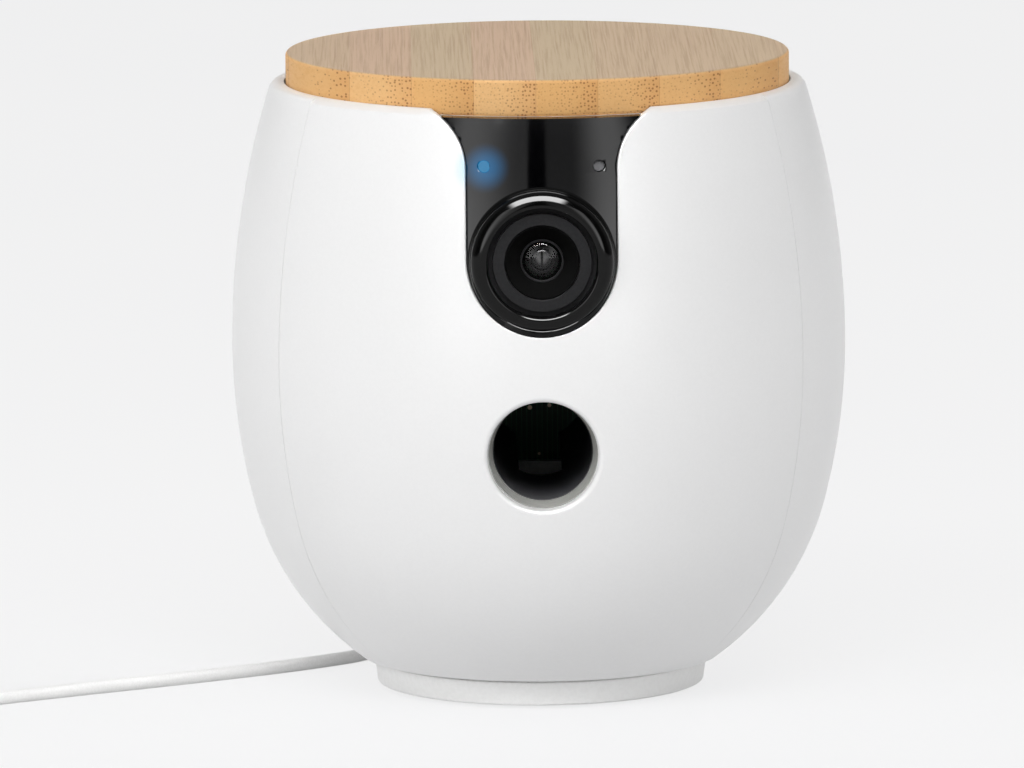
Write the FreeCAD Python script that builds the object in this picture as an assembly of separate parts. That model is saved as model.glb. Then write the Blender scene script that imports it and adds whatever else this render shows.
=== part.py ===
# A round treat tossing pet camera on a swivelling base, built as separate pieces.
# Millimetres. +Z is up, -Y is the front with the lens and the treat hole, and the origin is on the
# table under the middle of the base.
import FreeCAD
import Part
import math
import os

# Outline of the round body
BODY_RADIUS = 70.0
WIDEST_HEIGHT = 79.0
RIM_HEIGHT = 138.9
RIM_RADIUS = 60.7
FOOT_RADIUS = 41.0
LOWER_ARC = 145.0
FOOT_ARC_TURN = 14.5
SHELL_WALL = 2.4
SEAM_ANGLE = 57.5
SEAM_GAP = 0.15

# Base
FOOT_PROUD = 0.6
FOOT_RING_INSET = 7.3
FOOT_RING_WIDTH = 5.5
FOOT_RING_DEPTH = 0.6
PLATE_THICKNESS = 1.6
BASE_SETBACK = 2.9
BASE_TAPER = 0.8
BASE_WALL = 1.9
BASE_HEIGHT = 5.8
BASE_LEDGE = 1.2
BASE_LEDGE_WIDTH = 4.6
BASE_SCREWS = 4
POST_RADIUS = 8.0
POST_WALL = 1.8
SWIVEL_GAP = 0.4

# Ball bearing under the turntable
RACE_GAP = 3.0
RACE_WIDTH = 4.4
RACE_THICKNESS = 2.1
UPPER_RACE_THICKNESS = 1.9
BALL_RADIUS = 1.5
BALL_COUNT = 24
BALL_PLAY = 0.05
CAGE_THICKNESS = 0.8
CAGE_PLAY = 0.1

# Turntable
TURNTABLE_LIFT = 0.6
TURNTABLE_THICKNESS = 2.4
TURNTABLE_EDGE = 2.1
SLEEVE_RADIUS = 10.4
SLEEVE_RISE = 1.6
CLIP_THICKNESS = 0.8
CLIP_WIDTH = 2.8
CLIP_DEPTH = 0.8
RUNNING_PLAY = 0.05
TAB_ANGLES_FRONT = (-45.0, 0.0, 45.0)
TAB_ANGLES_REAR = (115.0, 180.0, 235.0)
TAB_WIDTH = 10.0
TAB_THICKNESS = 2.4
TAB_REACH = 4.0
TAB_SCREW_INSET = 3.0

# Screws
SCREW_RADIUS = 1.2
SCREW_HEAD_RADIUS = 2.2
SCREW_HEAD_HEIGHT = 1.0
SCREW_LENGTH = 4.4
DRIVE_RADIUS = 0.9
DRIVE_DEPTH = 0.5

# Gears
PRESSURE_ANGLE = 20.0
ADDENDUM = 0.75
DEDENDUM = 1.0
BACKLASH = 0.1
SWIVEL_MODULE = 0.6
SUN_TEETH = 48
DRIVE_MODULE = 0.8
LAUNCH_TEETH = 36
WHEEL_TEETH = 66
PINION_TEETH = 12
SHAFT_RADIUS = 1.5

# Small geared motors
GEARMOTOR_RADIUS = 10.0
GEARMOTOR_HEIGHT = 18.0
GEARMOTOR_OFFSET = 8.5
GEARMOTOR_BOSS = 3.4
LAUNCH_MOTOR_RADIUS = 10.0
LAUNCH_MOTOR_LENGTH = 24.0

# Camera panel and lens
LENS_DROP = 32.9
PANEL_DROP = 32.4
PANEL_WIDTH = 33.7
PANEL_GAP = 0.15
FLARE_DROP = 12.7
FLARE_RADIUS = 14.15
BEZEL_RADIUS = 16.0
BEZEL_NECK = 15.0
BEZEL_BORE = 12.3
BEZEL_PROUD = 1.8
BEZEL_DEPTH = 7.2
BEZEL_ROUND = 1.6
FIT_GAP = 0.1
LENS_RING_FACE_RADIUS = 11.1
LENS_RING_BORE = 8.4
LENS_RING_DEPTH = 2.6
LENS_RING_RECESS = 1.9
LENS_GROOVE_DEPTH = 1.4
LENS_FUNNEL_DEPTH = 3.2
FRONT_LENS_RADIUS = 4.8
FRONT_LENS_DEPTH = 1.4
FRONT_LENS_RISE = 1.2
INNER_LENS_RADIUS = 2.9
INNER_LENS_DEPTH = 1.8
INNER_LENS_RISE = 0.8
LENS_BARREL_LENGTH = 15.0
BARREL_TAIL_RADIUS = 7.2
BARREL_SHOULDER = 6.0
HOUSING_WALL = 1.1
CAMERA_BOARD_SIZE = 28.0
BOARD_THICKNESS = 1.2
LED_COUNT = 8
LED_RADIUS = 1.2
LED_HEIGHT = 2.4
LED_CIRCLE = 10.1
EAR_REACH = 20.5
EAR_HEIGHT = 8.0
EAR_THICKNESS = 2.0
EAR_SETBACK = 11.5
SIGHT_OFFSET = 12.8
SIGHT_DROP = 11.9
SIGHT_RADIUS = 1.25
SENSOR_BOARD_WIDTH = 31.0
SENSOR_BOARD_HEIGHT = 7.0
SENSOR_BOARD_SETBACK = 8.0
MESH_RECESS = 0.7
MESH_THICKNESS = 0.5

# Treat way
TREAT_HEIGHT = 62.4
HOLE_RADIUS = 12.4
HOLE_ROUND = 1.3
HOLE_DEPTH = 10.0
BARREL_RADIUS = 11.1
BARREL_WALL = 1.5
BARREL_REAR = 32.0
COLLAR_WALL = 2.0
CHUTE_RADIUS = 8.0

# Launcher
LAUNCH_SHAFT_Y = 4.0
LAUNCH_SHAFT_RADIUS = 2.0
BUSH_WALL = 2.0
BUSH_FLANGE = 0.8
FINGER_RISE = 3.6
FINGER_FLOOR_GAP = 4.2
FINGER_WIDTH = 8.0
FINGER_THICKNESS = 4.0
FINGER_HUB_RADIUS = 5.0
FINGER_CLEARANCE = 1.0
PAD_THICKNESS = 1.6
PAD_HEIGHT = 9.0
FRAME_GAP = 26.0
FRAME_PLATE = 2.5
FRAME_FRONT = 26.0
FRAME_REAR = 34.0
CHUTE_RISE = 5.0
FRAME_CROSS_HEIGHT = 36.0
FRAME_FOOT = 6.5
FRAME_FOOT_LENGTH = 6.0
FRAME_FOOT_STARTS = (-16.5, 23.5)
FRAME_FOOT_THICKNESS = 2.2
FRAME_SCREW_GRIP = 1.9
GEAR_WIDTH = 4.0
LAUNCH_GEAR_GAP = 1.1
LAUNCH_PINION_ANGLE = 35.0
BRACKET_THICKNESS = 1.6
BRACKET_GAP = 2.0
BRACKET_POST_RADIUS = 2.2

# Treat wheel and its housing
WHEEL_CENTRE = 20.0
WHEEL_FLOOR = 2.0
WHEEL_PLAY = 0.4
WHEEL_THICKNESS = 10.0
WHEEL_RIM_GAP = 1.0
POCKET_COUNT = 6
POCKET_RADIUS = 7.5
POCKET_CIRCLE = 16.5
HOUSING_GAP = 0.6
WHEEL_HOUSING_WALL = 2.0
WHEEL_PIN_RADIUS = 3.0
HUB_RADIUS = 6.0
HUB_RISE = 7.0
WHEEL_GEAR_WIDTH = 3.0
WHEEL_PINION_ANGLE = 165.0
PINION_WINDOW = 1.2

# Hopper
HOPPER_GAP = 0.8
HOPPER_WALL = 2.0
HOPPER_SIDE_GAP = 4.5
HOPPER_FRONT = 32.0
HOPPER_SHELF_DROP = 19.4
HOPPER_SLOPE = 38.0
HOPPER_MOUTH_RADIUS = 24.5
FLANGE_THICKNESS = 2.0
RIM_WALL = 3.0
LEDGE_WIDTH = 2.7
LEDGE_THICKNESS = 2.0
FLANGE_GAP = 0.2

# Lid
LID_GAP = 0.4
LID_THICKNESS = 8.3
LID_RECESS = 1.5
LID_ROUND = 0.9
PLUG_GAP = 2.2
PLUG_DEPTH = 4.0
PLUG_WALL = 3.0
SEAL_GAP = 0.4
SEAL_HEIGHT = 2.4
LID_SCREWS = 4

# Boards, speaker and button
STANDOFF_LENGTH = 5.0
MAIN_BOARD_WIDTH = 52.0
MAIN_BOARD_LOW = 22.0
MAIN_BOARD_HIGH = 74.0
STANDOFF_RADIUS = 2.2
SPEAKER_HEIGHT = 60.0
SPEAKER_RADIUS = 14.0
SPEAKER_SETBACK = 7.8
SPEAKER_DEPTH = 6.0
GRILLE_HOLE_RADIUS = 0.9
GRILLE_PITCH = 3.4
GRILLE_RINGS = 3
BUTTON_HEIGHT = 88.0
BUTTON_RADIUS = 3.0
BUTTON_GAP = 0.3
BUTTON_RECESS = 0.3
BUTTON_LENGTH = 3.6
BUTTON_FLANGE = 0.9
BUTTON_TRAVEL = 0.8
BUTTON_BOARD_WIDTH = 20.0
BUTTON_BOARD_HEIGHT = 9.0

# Power socket, plugs and cable
SOCKET_WIDTH = 8.94
SOCKET_HEIGHT = 3.26
SOCKET_WALL = 0.3
SOCKET_DEPTH = 7.0
SOCKET_PROUD = 0.2
BASE_BOARD_WIDTH = 28.0
BASE_BOARD_REACH = 5.6
BASE_BOARD_THICKNESS = 0.8
TONGUE_LENGTH = 6.4
PLUG_PLAY = 0.08
OVERMOULD_WIDTH = 11.2
OVERMOULD_HEIGHT = 4.8
OVERMOULD_LENGTH = 20.0
PORT_GAP = 0.3
RELIEF_LENGTH = 8.0
RELIEF_RADIUS = 2.1
CABLE_RADIUS = 1.5
CABLE_FLOOR = 1.55
ROUTE_TURNS = (
    (0.0, 80.0),
    (-8.0, 100.0),
    (-27.0, 106.0),
    (-43.0, 94.0),
    (-43.0, 72.0),
    (-33.0, 33.5),
    (-53.5, 14.6),
    (-86.0, -5.3),
    (-119.0, -24.2),
)
COIL_START = (-145.2, -41.9)
RUN_SHARE = 0.45
COIL_OUTER = 24.5
COIL_PITCH = 3.5
COIL_TURNS_PER_LAYER = 4
COIL_RISE_TO_PLUG = 5.6
COIL_TAIL_RADIUS = 12.25
SUPPLY_PLUG_WIDTH = 15.0
SUPPLY_PLUG_HEIGHT = 7.6
SUPPLY_PLUG_LENGTH = 18.0
SUPPLY_TONGUE_WIDTH = 12.0
SUPPLY_TONGUE_HEIGHT = 4.5
SUPPLY_TONGUE_LENGTH = 12.0

ORIGIN = FreeCAD.Vector(0, 0, 0)
UP = FreeCAD.Vector(0, 0, 1)
ACROSS = FreeCAD.Vector(1, 0, 0)


# Sizes that follow
BASE_TOP = FOOT_PROUD + BASE_HEIGHT
SHELL_FOOT = BASE_TOP + SWIVEL_GAP
UPPER_ARC = ((BODY_RADIUS - RIM_RADIUS) ** 2 + (RIM_HEIGHT - WIDEST_HEIGHT) ** 2) / 2 / (BODY_RADIUS - RIM_RADIUS)


def foot_arc_radius():
    """Radius of the arc that runs on from the lower arc and ends at the shell's foot."""
    turn = math.radians(FOOT_ARC_TURN)
    radial = math.cos(turn)
    fall = math.sin(turn)
    along = FOOT_RADIUS - (BODY_RADIUS - LOWER_ARC + LOWER_ARC * radial)
    down = SHELL_FOOT - (WIDEST_HEIGHT - LOWER_ARC * fall)
    return -(along ** 2 + down ** 2) / 2 / (along * radial - down * fall)


FOOT_ARC = foot_arc_radius()


def outline_radius(height, inset=0.0):
    """Radius of the body's outline at a height, drawn in by inset along its normal."""
    turn = math.radians(FOOT_ARC_TURN)
    rise = height - WIDEST_HEIGHT
    if rise >= 0:
        return BODY_RADIUS - UPPER_ARC + math.sqrt((UPPER_ARC - inset) ** 2 - rise ** 2)
    if -rise <= (LOWER_ARC - inset) * math.sin(turn):
        return BODY_RADIUS - LOWER_ARC + math.sqrt((LOWER_ARC - inset) ** 2 - rise ** 2)
    centre_radius = BODY_RADIUS - LOWER_ARC + (LOWER_ARC - FOOT_ARC) * math.cos(turn)
    centre_height = WIDEST_HEIGHT - (LOWER_ARC - FOOT_ARC) * math.sin(turn)
    return centre_radius + math.sqrt((FOOT_ARC - inset) ** 2 - (height - centre_height) ** 2)


BASE_RADIUS_HIGH = FOOT_RADIUS - BASE_SETBACK
BASE_RADIUS_LOW = BASE_RADIUS_HIGH - BASE_TAPER
FOOT_RING_OUTER = BASE_RADIUS_LOW - FOOT_RING_INSET
FOOT_RING_INNER = FOOT_RING_OUTER - FOOT_RING_WIDTH
RACE_RADIUS = BASE_RADIUS_LOW - BASE_WALL - BASE_LEDGE_WIDTH - RACE_GAP - RACE_WIDTH / 2
PLATE_TOP = FOOT_PROUD + PLATE_THICKNESS
TURNTABLE_LOW = SHELL_FOOT + TURNTABLE_LIFT
TURNTABLE_TOP = TURNTABLE_LOW + TURNTABLE_THICKNESS
BALL_HEIGHT = (PLATE_TOP + RACE_THICKNESS + TURNTABLE_LOW - UPPER_RACE_THICKNESS) / 2
TAB_SCREW_RADIUS = BASE_RADIUS_LOW - TURNTABLE_EDGE - TAB_SCREW_INSET
SWIVEL_CENTRES = (SUN_TEETH + PINION_TEETH) * SWIVEL_MODULE / 2
SOCKET_FRONT = BASE_RADIUS_LOW + SOCKET_PROUD
PORT_HEIGHT = PLATE_TOP + SOCKET_HEIGHT / 2
RIM_BORE = RIM_RADIUS - RIM_WALL
LEDGE_BORE = RIM_BORE - LEDGE_WIDTH
LID_SEAT = RIM_HEIGHT - LID_RECESS
FLANGE_LOW = LID_SEAT - FLANGE_THICKNESS
LEDGE_LOW = FLANGE_LOW - LEDGE_THICKNESS
LID_RADIUS = RIM_BORE - LID_GAP
HOPPER_RADIUS = LEDGE_BORE - HOPPER_WALL - HOPPER_SIDE_GAP
HOPPER_SHELF = LID_SEAT - HOPPER_SHELF_DROP
PLUG_RADIUS = HOPPER_RADIUS - PLUG_GAP
LENS_HEIGHT = RIM_HEIGHT - LENS_DROP
PANEL_CENTRE = RIM_HEIGHT - PANEL_DROP
FLARE_START = RIM_HEIGHT - FLARE_DROP
SIGHT_HEIGHT = RIM_HEIGHT - SIGHT_DROP
BEZEL_FRONT = outline_radius(LENS_HEIGHT) + BEZEL_PROUD
BEZEL_BACK = BEZEL_FRONT - BEZEL_DEPTH
EAR_FRONT = BEZEL_FRONT - EAR_SETBACK
SENSOR_BOARD_DEPTH = outline_radius(SIGHT_HEIGHT) - SENSOR_BOARD_SETBACK
HOLE_BACK = outline_radius(TREAT_HEIGHT) - HOLE_DEPTH
FINGER_REACH = (TREAT_HEIGHT + FINGER_RISE - TURNTABLE_TOP - FINGER_FLOOR_GAP) / 2
LAUNCH_SHAFT_Z = TREAT_HEIGHT + FINGER_RISE - FINGER_REACH
LAUNCH_CENTRES = (LAUNCH_TEETH + PINION_TEETH) * DRIVE_MODULE / 2
FRAME_TOP = TREAT_HEIGHT + BARREL_RADIUS + BARREL_WALL + CHUTE_RISE
FRAME_SIDE = FRAME_GAP / 2 + FRAME_PLATE
WHEEL_LOW = FRAME_TOP + WHEEL_FLOOR + WHEEL_PLAY
WHEEL_TOP = WHEEL_LOW + WHEEL_THICKNESS
WHEEL_CENTRES = (WHEEL_TEETH + PINION_TEETH) * DRIVE_MODULE / 2
WHEEL_TIP = (WHEEL_TEETH / 2 + ADDENDUM) * DRIVE_MODULE
PINION_TIP = (PINION_TEETH / 2 + ADDENDUM) * DRIVE_MODULE
HOUSING_BORE = WHEEL_TIP + HOUSING_GAP
HOPPER_FLOOR_LOW = WHEEL_TOP + HOPPER_GAP
HOPPER_FLOOR = HOPPER_FLOOR_LOW + HOPPER_WALL
DROP_Y = WHEEL_CENTRE - POCKET_CIRCLE
MAIN_BOARD_Y = FRAME_REAR + STANDOFF_LENGTH
SPEAKER_REAR = outline_radius(SPEAKER_HEIGHT) - SPEAKER_SETBACK
REACH = 3 * BODY_RADIUS


# Plain shapes
def vector(x, y, z=0.0):
    return FreeCAD.Vector(x, y, z)


def rod(radius, x, y, low, high):
    return Part.makeCylinder(radius, high - low, vector(x, y, low), UP)


def pipe(outer, inner, x, y, low, high):
    return rod(outer, x, y, low, high).cut(rod(inner, x, y, low - 1, high + 1))


def block(x_low, x_high, y_low, y_high, z_low, z_high):
    corner = vector(x_low, y_low, z_low)
    return Part.makeBox(x_high - x_low, y_high - y_low, z_high - z_low, corner, UP)


def fused(shapes):
    whole = shapes[0].copy()
    for shape in shapes[1:]:
        whole = whole.fuse(shape)
    return whole.removeSplitter()


def less(shape, cutters):
    for cutter in cutters:
        shape = shape.cut(cutter)
    return shape


def turned(points):
    """Solid turned about +Z from a closed outline of (radius, height) points."""
    corners = [vector(radius, 0, height) for radius, height in points]
    outline = Part.makePolygon(corners + corners[:1])
    return Part.Face(outline).revolve(ORIGIN, UP, 360)


def moved(shape, x, y, z):
    shape = shape.copy()
    shape.translate(vector(x, y, z))
    return shape


def forward(shape, height):
    """Turns a shape that was drawn about +Z so that its +Z points out of the front."""
    shape = shape.copy()
    shape.rotate(ORIGIN, ACROSS, 90)
    shape.translate(vector(0, 0, height))
    return shape


def sideways(shape, x, y, z):
    """Turns a shape that was drawn about +Z so that its +Z points along +X."""
    shape = shape.copy()
    shape.rotate(ORIGIN, vector(0, 1, 0), 90)
    shape.translate(vector(x, y, z))
    return shape


def around(shape, count, start=0.0):
    copies = []
    for step in range(count):
        copy = shape.copy()
        copy.rotate(ORIGIN, UP, start + 360.0 * step / count)
        copies.append(copy)
    return copies


def stadium(width, height, length):
    """Bar along +Y with a slot's section, centred on the origin's line."""
    end = height / 2
    half = width / 2 - end
    middle = block(-half, half, 0, length, -end, end)
    ends = [Part.makeCylinder(end, length, vector(side * half, 0, 0), vector(0, 1, 0)) for side in (-1, 1)]
    return fused([middle] + ends)


def rounded_block(x_low, x_high, y_low, y_high, z_low, z_high, radius, direction):
    """Block whose edges along one direction are rounded."""
    body = block(x_low, x_high, y_low, y_high, z_low, z_high)
    edges = [edge for edge in body.Edges if abs(edge.tangentAt(edge.FirstParameter).dot(direction)) > 0.9]
    return body.makeFillet(radius, edges)


# The body's outline
def outline_arc(low, high, inset):
    heights = (low, (low + high) / 2, high)
    points = [vector(outline_radius(height, inset), 0, height) for height in heights]
    return Part.Arc(*points).toShape()


def egg(inset, low, high):
    """Solid of the body's outline between two heights."""
    join = WIDEST_HEIGHT - (LOWER_ARC - inset) * math.sin(math.radians(FOOT_ARC_TURN))
    stops = [low] + [stop for stop in (join, WIDEST_HEIGHT) if low < stop < high] + [high]
    side = [outline_arc(stops[i], stops[i + 1], inset) for i in range(len(stops) - 1)]
    start = vector(outline_radius(low, inset), 0, low)
    end = vector(outline_radius(high, inset), 0, high)
    top = Part.makeLine(end, vector(0, 0, high))
    axis = Part.makeLine(vector(0, 0, high), vector(0, 0, low))
    bottom = Part.makeLine(vector(0, 0, low), start)
    return Part.Face(Part.Wire(side + [top, axis, bottom])).revolve(ORIGIN, UP, 360)


def front_sector(half_angle):
    """Wedge that covers the front through half_angle each side."""
    wedge = Part.makeCylinder(REACH, REACH, vector(0, 0, -1), UP, 2 * half_angle)
    wedge.rotate(ORIGIN, UP, -90 - half_angle)
    return wedge


# Gears
def involute(angle):
    return math.tan(angle) - angle


def tooth_half_angle(teeth, module, radius):
    pressure = math.radians(PRESSURE_ANGLE)
    pitch = teeth * module / 2
    base = pitch * math.cos(pressure)
    spread = math.acos(base / max(radius, base))
    at_pitch = (math.pi * module - BACKLASH) / 4 / pitch
    return at_pitch + involute(pressure) - involute(spread)


def gear(teeth, module, width, tooth_at):
    """Spur gear about +Z with its underside at zero and a tooth at the angle tooth_at."""
    pitch = teeth * module / 2
    root = pitch - DEDENDUM * module
    tip = pitch + ADDENDUM * module
    base = pitch * math.cos(math.radians(PRESSURE_ANGLE))
    flank = [root] + [radius for radius in (base, (base + pitch) / 2, pitch) if root < radius < tip] + [tip]
    points = []
    for tooth in range(teeth):
        middle = math.radians(tooth_at) + 2 * math.pi * tooth / teeth
        rising = [(radius, middle - tooth_half_angle(teeth, module, radius)) for radius in flank]
        falling = [(radius, middle + tooth_half_angle(teeth, module, radius)) for radius in reversed(flank)]
        for radius, angle in rising + falling:
            points.append(vector(radius * math.cos(angle), radius * math.sin(angle)))
    face = Part.Face(Part.makePolygon(points + points[:1]))
    return face.extrude(vector(0, 0, width))


def screw(length):
    """Pan screw whose head stands on zero and whose shank points up."""
    head = Part.makeCylinder(SCREW_HEAD_RADIUS, SCREW_HEAD_HEIGHT, vector(0, 0, -SCREW_HEAD_HEIGHT), UP)
    drive = Part.makeCylinder(DRIVE_RADIUS, DRIVE_DEPTH, vector(0, 0, -SCREW_HEAD_HEIGHT), UP)
    shank = Part.makeCylinder(SCREW_RADIUS, length, ORIGIN, UP)
    return head.cut(drive).fuse(shank)


def gearmotor():
    """Geared motor standing on zero with its output shaft on the Z axis, and a hole for that shaft."""
    body = rod(GEARMOTOR_RADIUS, -GEARMOTOR_OFFSET, 0, 0, GEARMOTOR_HEIGHT)
    neck = rod(GEARMOTOR_BOSS, 0, 0, 0, GEARMOTOR_HEIGHT / 3)
    bridge = block(-GEARMOTOR_OFFSET, 0, -GEARMOTOR_BOSS, GEARMOTOR_BOSS, 0, GEARMOTOR_HEIGHT / 3)
    whole = fused([body, neck, bridge])
    return whole.cut(rod(SHAFT_RADIUS + RUNNING_PLAY, 0, 0, -1, GEARMOTOR_HEIGHT / 3 - 1))


# Base pieces
def base_screw_places():
    radius = BASE_RADIUS_LOW - BASE_WALL - SCREW_HEAD_RADIUS
    angle = math.radians(45)
    return radius * math.cos(angle), radius * math.sin(angle)


def port_hole():
    slot = stadium(SOCKET_WIDTH + 0.6, SOCKET_HEIGHT + 0.6, BASE_RADIUS_HIGH)
    return moved(slot, 0, BASE_RADIUS_HIGH / 2, PORT_HEIGHT)


def base_ring():
    outer = Part.makeCone(BASE_RADIUS_LOW, BASE_RADIUS_HIGH, BASE_HEIGHT, vector(0, 0, FOOT_PROUD), UP)
    rim_edge = [edge for edge in outer.Edges if len(edge.Vertexes) == 1]
    outer = outer.makeFillet(0.5, rim_edge)
    bore = BASE_RADIUS_LOW - BASE_WALL
    ledge_top = PLATE_TOP + BASE_LEDGE
    cutters = [
        rod(bore, 0, 0, 0, PLATE_TOP),
        rod(bore - BASE_LEDGE_WIDTH, 0, 0, 0, BASE_TOP + 1),
        rod(bore, 0, 0, ledge_top, BASE_TOP + 1),
        block(-BASE_BOARD_WIDTH / 2 - 1, BASE_BOARD_WIDTH / 2 + 1, 0, bore - 0.6, PLATE_TOP, BASE_TOP + 1),
        port_hole(),
    ]
    x, y = base_screw_places()
    cutters += around(rod(SCREW_RADIUS, x, y, 0, ledge_top + 1), BASE_SCREWS)
    return less(outer, cutters)


def base_plate():
    plate = rod(BASE_RADIUS_LOW - BASE_WALL - FIT_GAP, 0, 0, FOOT_PROUD, PLATE_TOP)
    post_top = TURNTABLE_TOP + SLEEVE_RISE + CLIP_THICKNESS + 0.8
    post = rod(POST_RADIUS, 0, 0, FOOT_PROUD, post_top)
    groove_low = TURNTABLE_TOP + SLEEVE_RISE + 0.2
    groove = pipe(POST_RADIUS + 1, POST_RADIUS - CLIP_DEPTH, 0, 0, groove_low, groove_low + CLIP_THICKNESS)
    foot = pipe(FOOT_RING_OUTER, FOOT_RING_INNER, 0, 0, 0, FOOT_PROUD + FOOT_RING_DEPTH)
    x, y = base_screw_places()
    holes = around(rod(SCREW_RADIUS + FIT_GAP, x, y, 0, PLATE_TOP + 1), BASE_SCREWS)
    sinks = around(rod(SCREW_HEAD_RADIUS + FIT_GAP, x, y, 0, FOOT_PROUD + SCREW_HEAD_HEIGHT), BASE_SCREWS)
    bore = rod(POST_RADIUS - POST_WALL, 0, 0, PLATE_TOP, post_top + 1)
    return less(plate.fuse(post), [groove, foot, bore] + holes + sinks)


def foot_ring():
    return pipe(FOOT_RING_OUTER, FOOT_RING_INNER, 0, 0, 0, FOOT_PROUD + FOOT_RING_DEPTH)


def base_screws():
    x, y = base_screw_places()
    length = PLATE_TOP + BASE_LEDGE - FOOT_PROUD - SCREW_HEAD_HEIGHT
    return around(moved(screw(length), x, y, FOOT_PROUD + SCREW_HEAD_HEIGHT), BASE_SCREWS)


def sun_gear():
    low = PLATE_TOP
    wheel = moved(gear(SUN_TEETH, SWIVEL_MODULE, BASE_HEIGHT - PLATE_THICKNESS, 180.0), 0, 0, low)
    return wheel.cut(rod(POST_RADIUS, 0, 0, 0, TURNTABLE_TOP))


def race(low, high):
    ring = pipe(RACE_RADIUS + RACE_WIDTH / 2, RACE_RADIUS - RACE_WIDTH / 2, 0, 0, low, high)
    return ring.cut(Part.makeTorus(RACE_RADIUS, BALL_RADIUS + BALL_PLAY, vector(0, 0, BALL_HEIGHT), UP))


def ball_places():
    for step in range(BALL_COUNT):
        angle = 2 * math.pi * step / BALL_COUNT
        yield RACE_RADIUS * math.cos(angle), RACE_RADIUS * math.sin(angle)


def bearing_cage():
    low = BALL_HEIGHT - CAGE_THICKNESS / 2
    outer = RACE_RADIUS + RACE_WIDTH / 2
    ring = pipe(outer, outer - RACE_WIDTH, 0, 0, low, low + CAGE_THICKNESS)
    holes = [rod(BALL_RADIUS + CAGE_PLAY, x, y, low - 1, low + CAGE_THICKNESS + 1) for x, y in ball_places()]
    return less(ring, holes)


def bearing_balls():
    return [Part.makeSphere(BALL_RADIUS, vector(x, y, BALL_HEIGHT)) for x, y in ball_places()]


def pivot_clip():
    low = TURNTABLE_TOP + SLEEVE_RISE + 0.2
    inner = POST_RADIUS - CLIP_DEPTH
    ring = pipe(inner + CLIP_WIDTH, inner, 0, 0, low, low + CLIP_THICKNESS)
    return ring.cut(block(-2, 2, 0, inner + CLIP_WIDTH + 1, low - 1, low + CLIP_THICKNESS + 1))


def usb_socket():
    shell = stadium(SOCKET_WIDTH, SOCKET_HEIGHT, SOCKET_DEPTH)
    inside = stadium(SOCKET_WIDTH - 2 * SOCKET_WALL, SOCKET_HEIGHT - 2 * SOCKET_WALL, SOCKET_DEPTH)
    cup = shell.cut(moved(inside, 0, SOCKET_WALL, 0))
    return moved(cup, 0, SOCKET_FRONT - SOCKET_DEPTH, PORT_HEIGHT)


def base_board():
    near = SOCKET_FRONT - SOCKET_DEPTH - 2.2
    half = BASE_BOARD_WIDTH / 2
    low = PORT_HEIGHT - BASE_BOARD_THICKNESS / 2
    board = block(-half, half, near, near + BASE_BOARD_REACH, low, low + BASE_BOARD_THICKNESS)
    room = rod(BASE_RADIUS_LOW - BASE_WALL - 0.3, 0, 0, 0, BASE_TOP)
    notch_half = SOCKET_WIDTH / 2
    notch = block(-notch_half, notch_half, SOCKET_FRONT - SOCKET_DEPTH, BASE_RADIUS_HIGH, 0, BASE_TOP)
    feet = [rod(1.2, side * (half - 2.0), near + 2.0, PLATE_TOP, low) for side in (-1, 1)]
    return less(board.common(room), [notch]).fuse(feet[0]).fuse(feet[1])


# Turntable and the swivel drive
def turntable():
    radius = BASE_RADIUS_LOW - TURNTABLE_EDGE
    disc = rod(radius, 0, 0, TURNTABLE_LOW, TURNTABLE_TOP)
    sleeve = rod(SLEEVE_RADIUS, 0, 0, TURNTABLE_LOW, TURNTABLE_TOP + SLEEVE_RISE)
    cutters = [rod(POST_RADIUS + RUNNING_PLAY, 0, 0, 0, LENS_HEIGHT)]
    cutters.append(rod(PINION_TIP, -SWIVEL_CENTRES, 0, 0, TURNTABLE_TOP + 1))
    for angle in TAB_ANGLES_FRONT + TAB_ANGLES_REAR:
        x, y = tab_screw_place(angle)
        cutters.append(rod(SCREW_RADIUS + FIT_GAP, x, y, 0, TURNTABLE_TOP + 1))
        cutters.append(rod(SCREW_HEAD_RADIUS + FIT_GAP, x, y, 0, TURNTABLE_LOW + SCREW_HEAD_HEIGHT))
    for x, y in frame_screw_places():
        cutters.append(rod(SCREW_RADIUS, x, y, TURNTABLE_TOP - FRAME_SCREW_GRIP, TURNTABLE_TOP + 1))
    return less(disc.fuse(sleeve), cutters)


def tab_screw_place(angle):
    turn = math.radians(angle)
    return TAB_SCREW_RADIUS * math.sin(turn), -TAB_SCREW_RADIUS * math.cos(turn)


def shell_tab(angle):
    """Foot inside a shell that stands on the turntable and takes a screw from below."""
    inner = TAB_SCREW_RADIUS - TAB_REACH
    half = TAB_WIDTH / 2
    tab = block(-half, half, -BODY_RADIUS, -inner, TURNTABLE_TOP, TURNTABLE_TOP + TAB_THICKNESS)
    hole = rod(SCREW_RADIUS, 0, -TAB_SCREW_RADIUS, 0, WIDEST_HEIGHT)
    tab = tab.cut(hole)
    tab.rotate(ORIGIN, UP, angle)
    return tab.common(egg(SHELL_WALL / 2, SHELL_FOOT, WIDEST_HEIGHT))


def swivel_motor():
    return moved(gearmotor(), -SWIVEL_CENTRES, 0, TURNTABLE_TOP)


def swivel_pinion():
    low = PLATE_TOP + 1.0
    teeth = moved(gear(PINION_TEETH, SWIVEL_MODULE, BASE_TOP - low, 180.0 / PINION_TEETH), -SWIVEL_CENTRES, 0, low)
    return teeth.fuse(rod(SHAFT_RADIUS, -SWIVEL_CENTRES, 0, low, TURNTABLE_TOP + 4.0))


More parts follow.
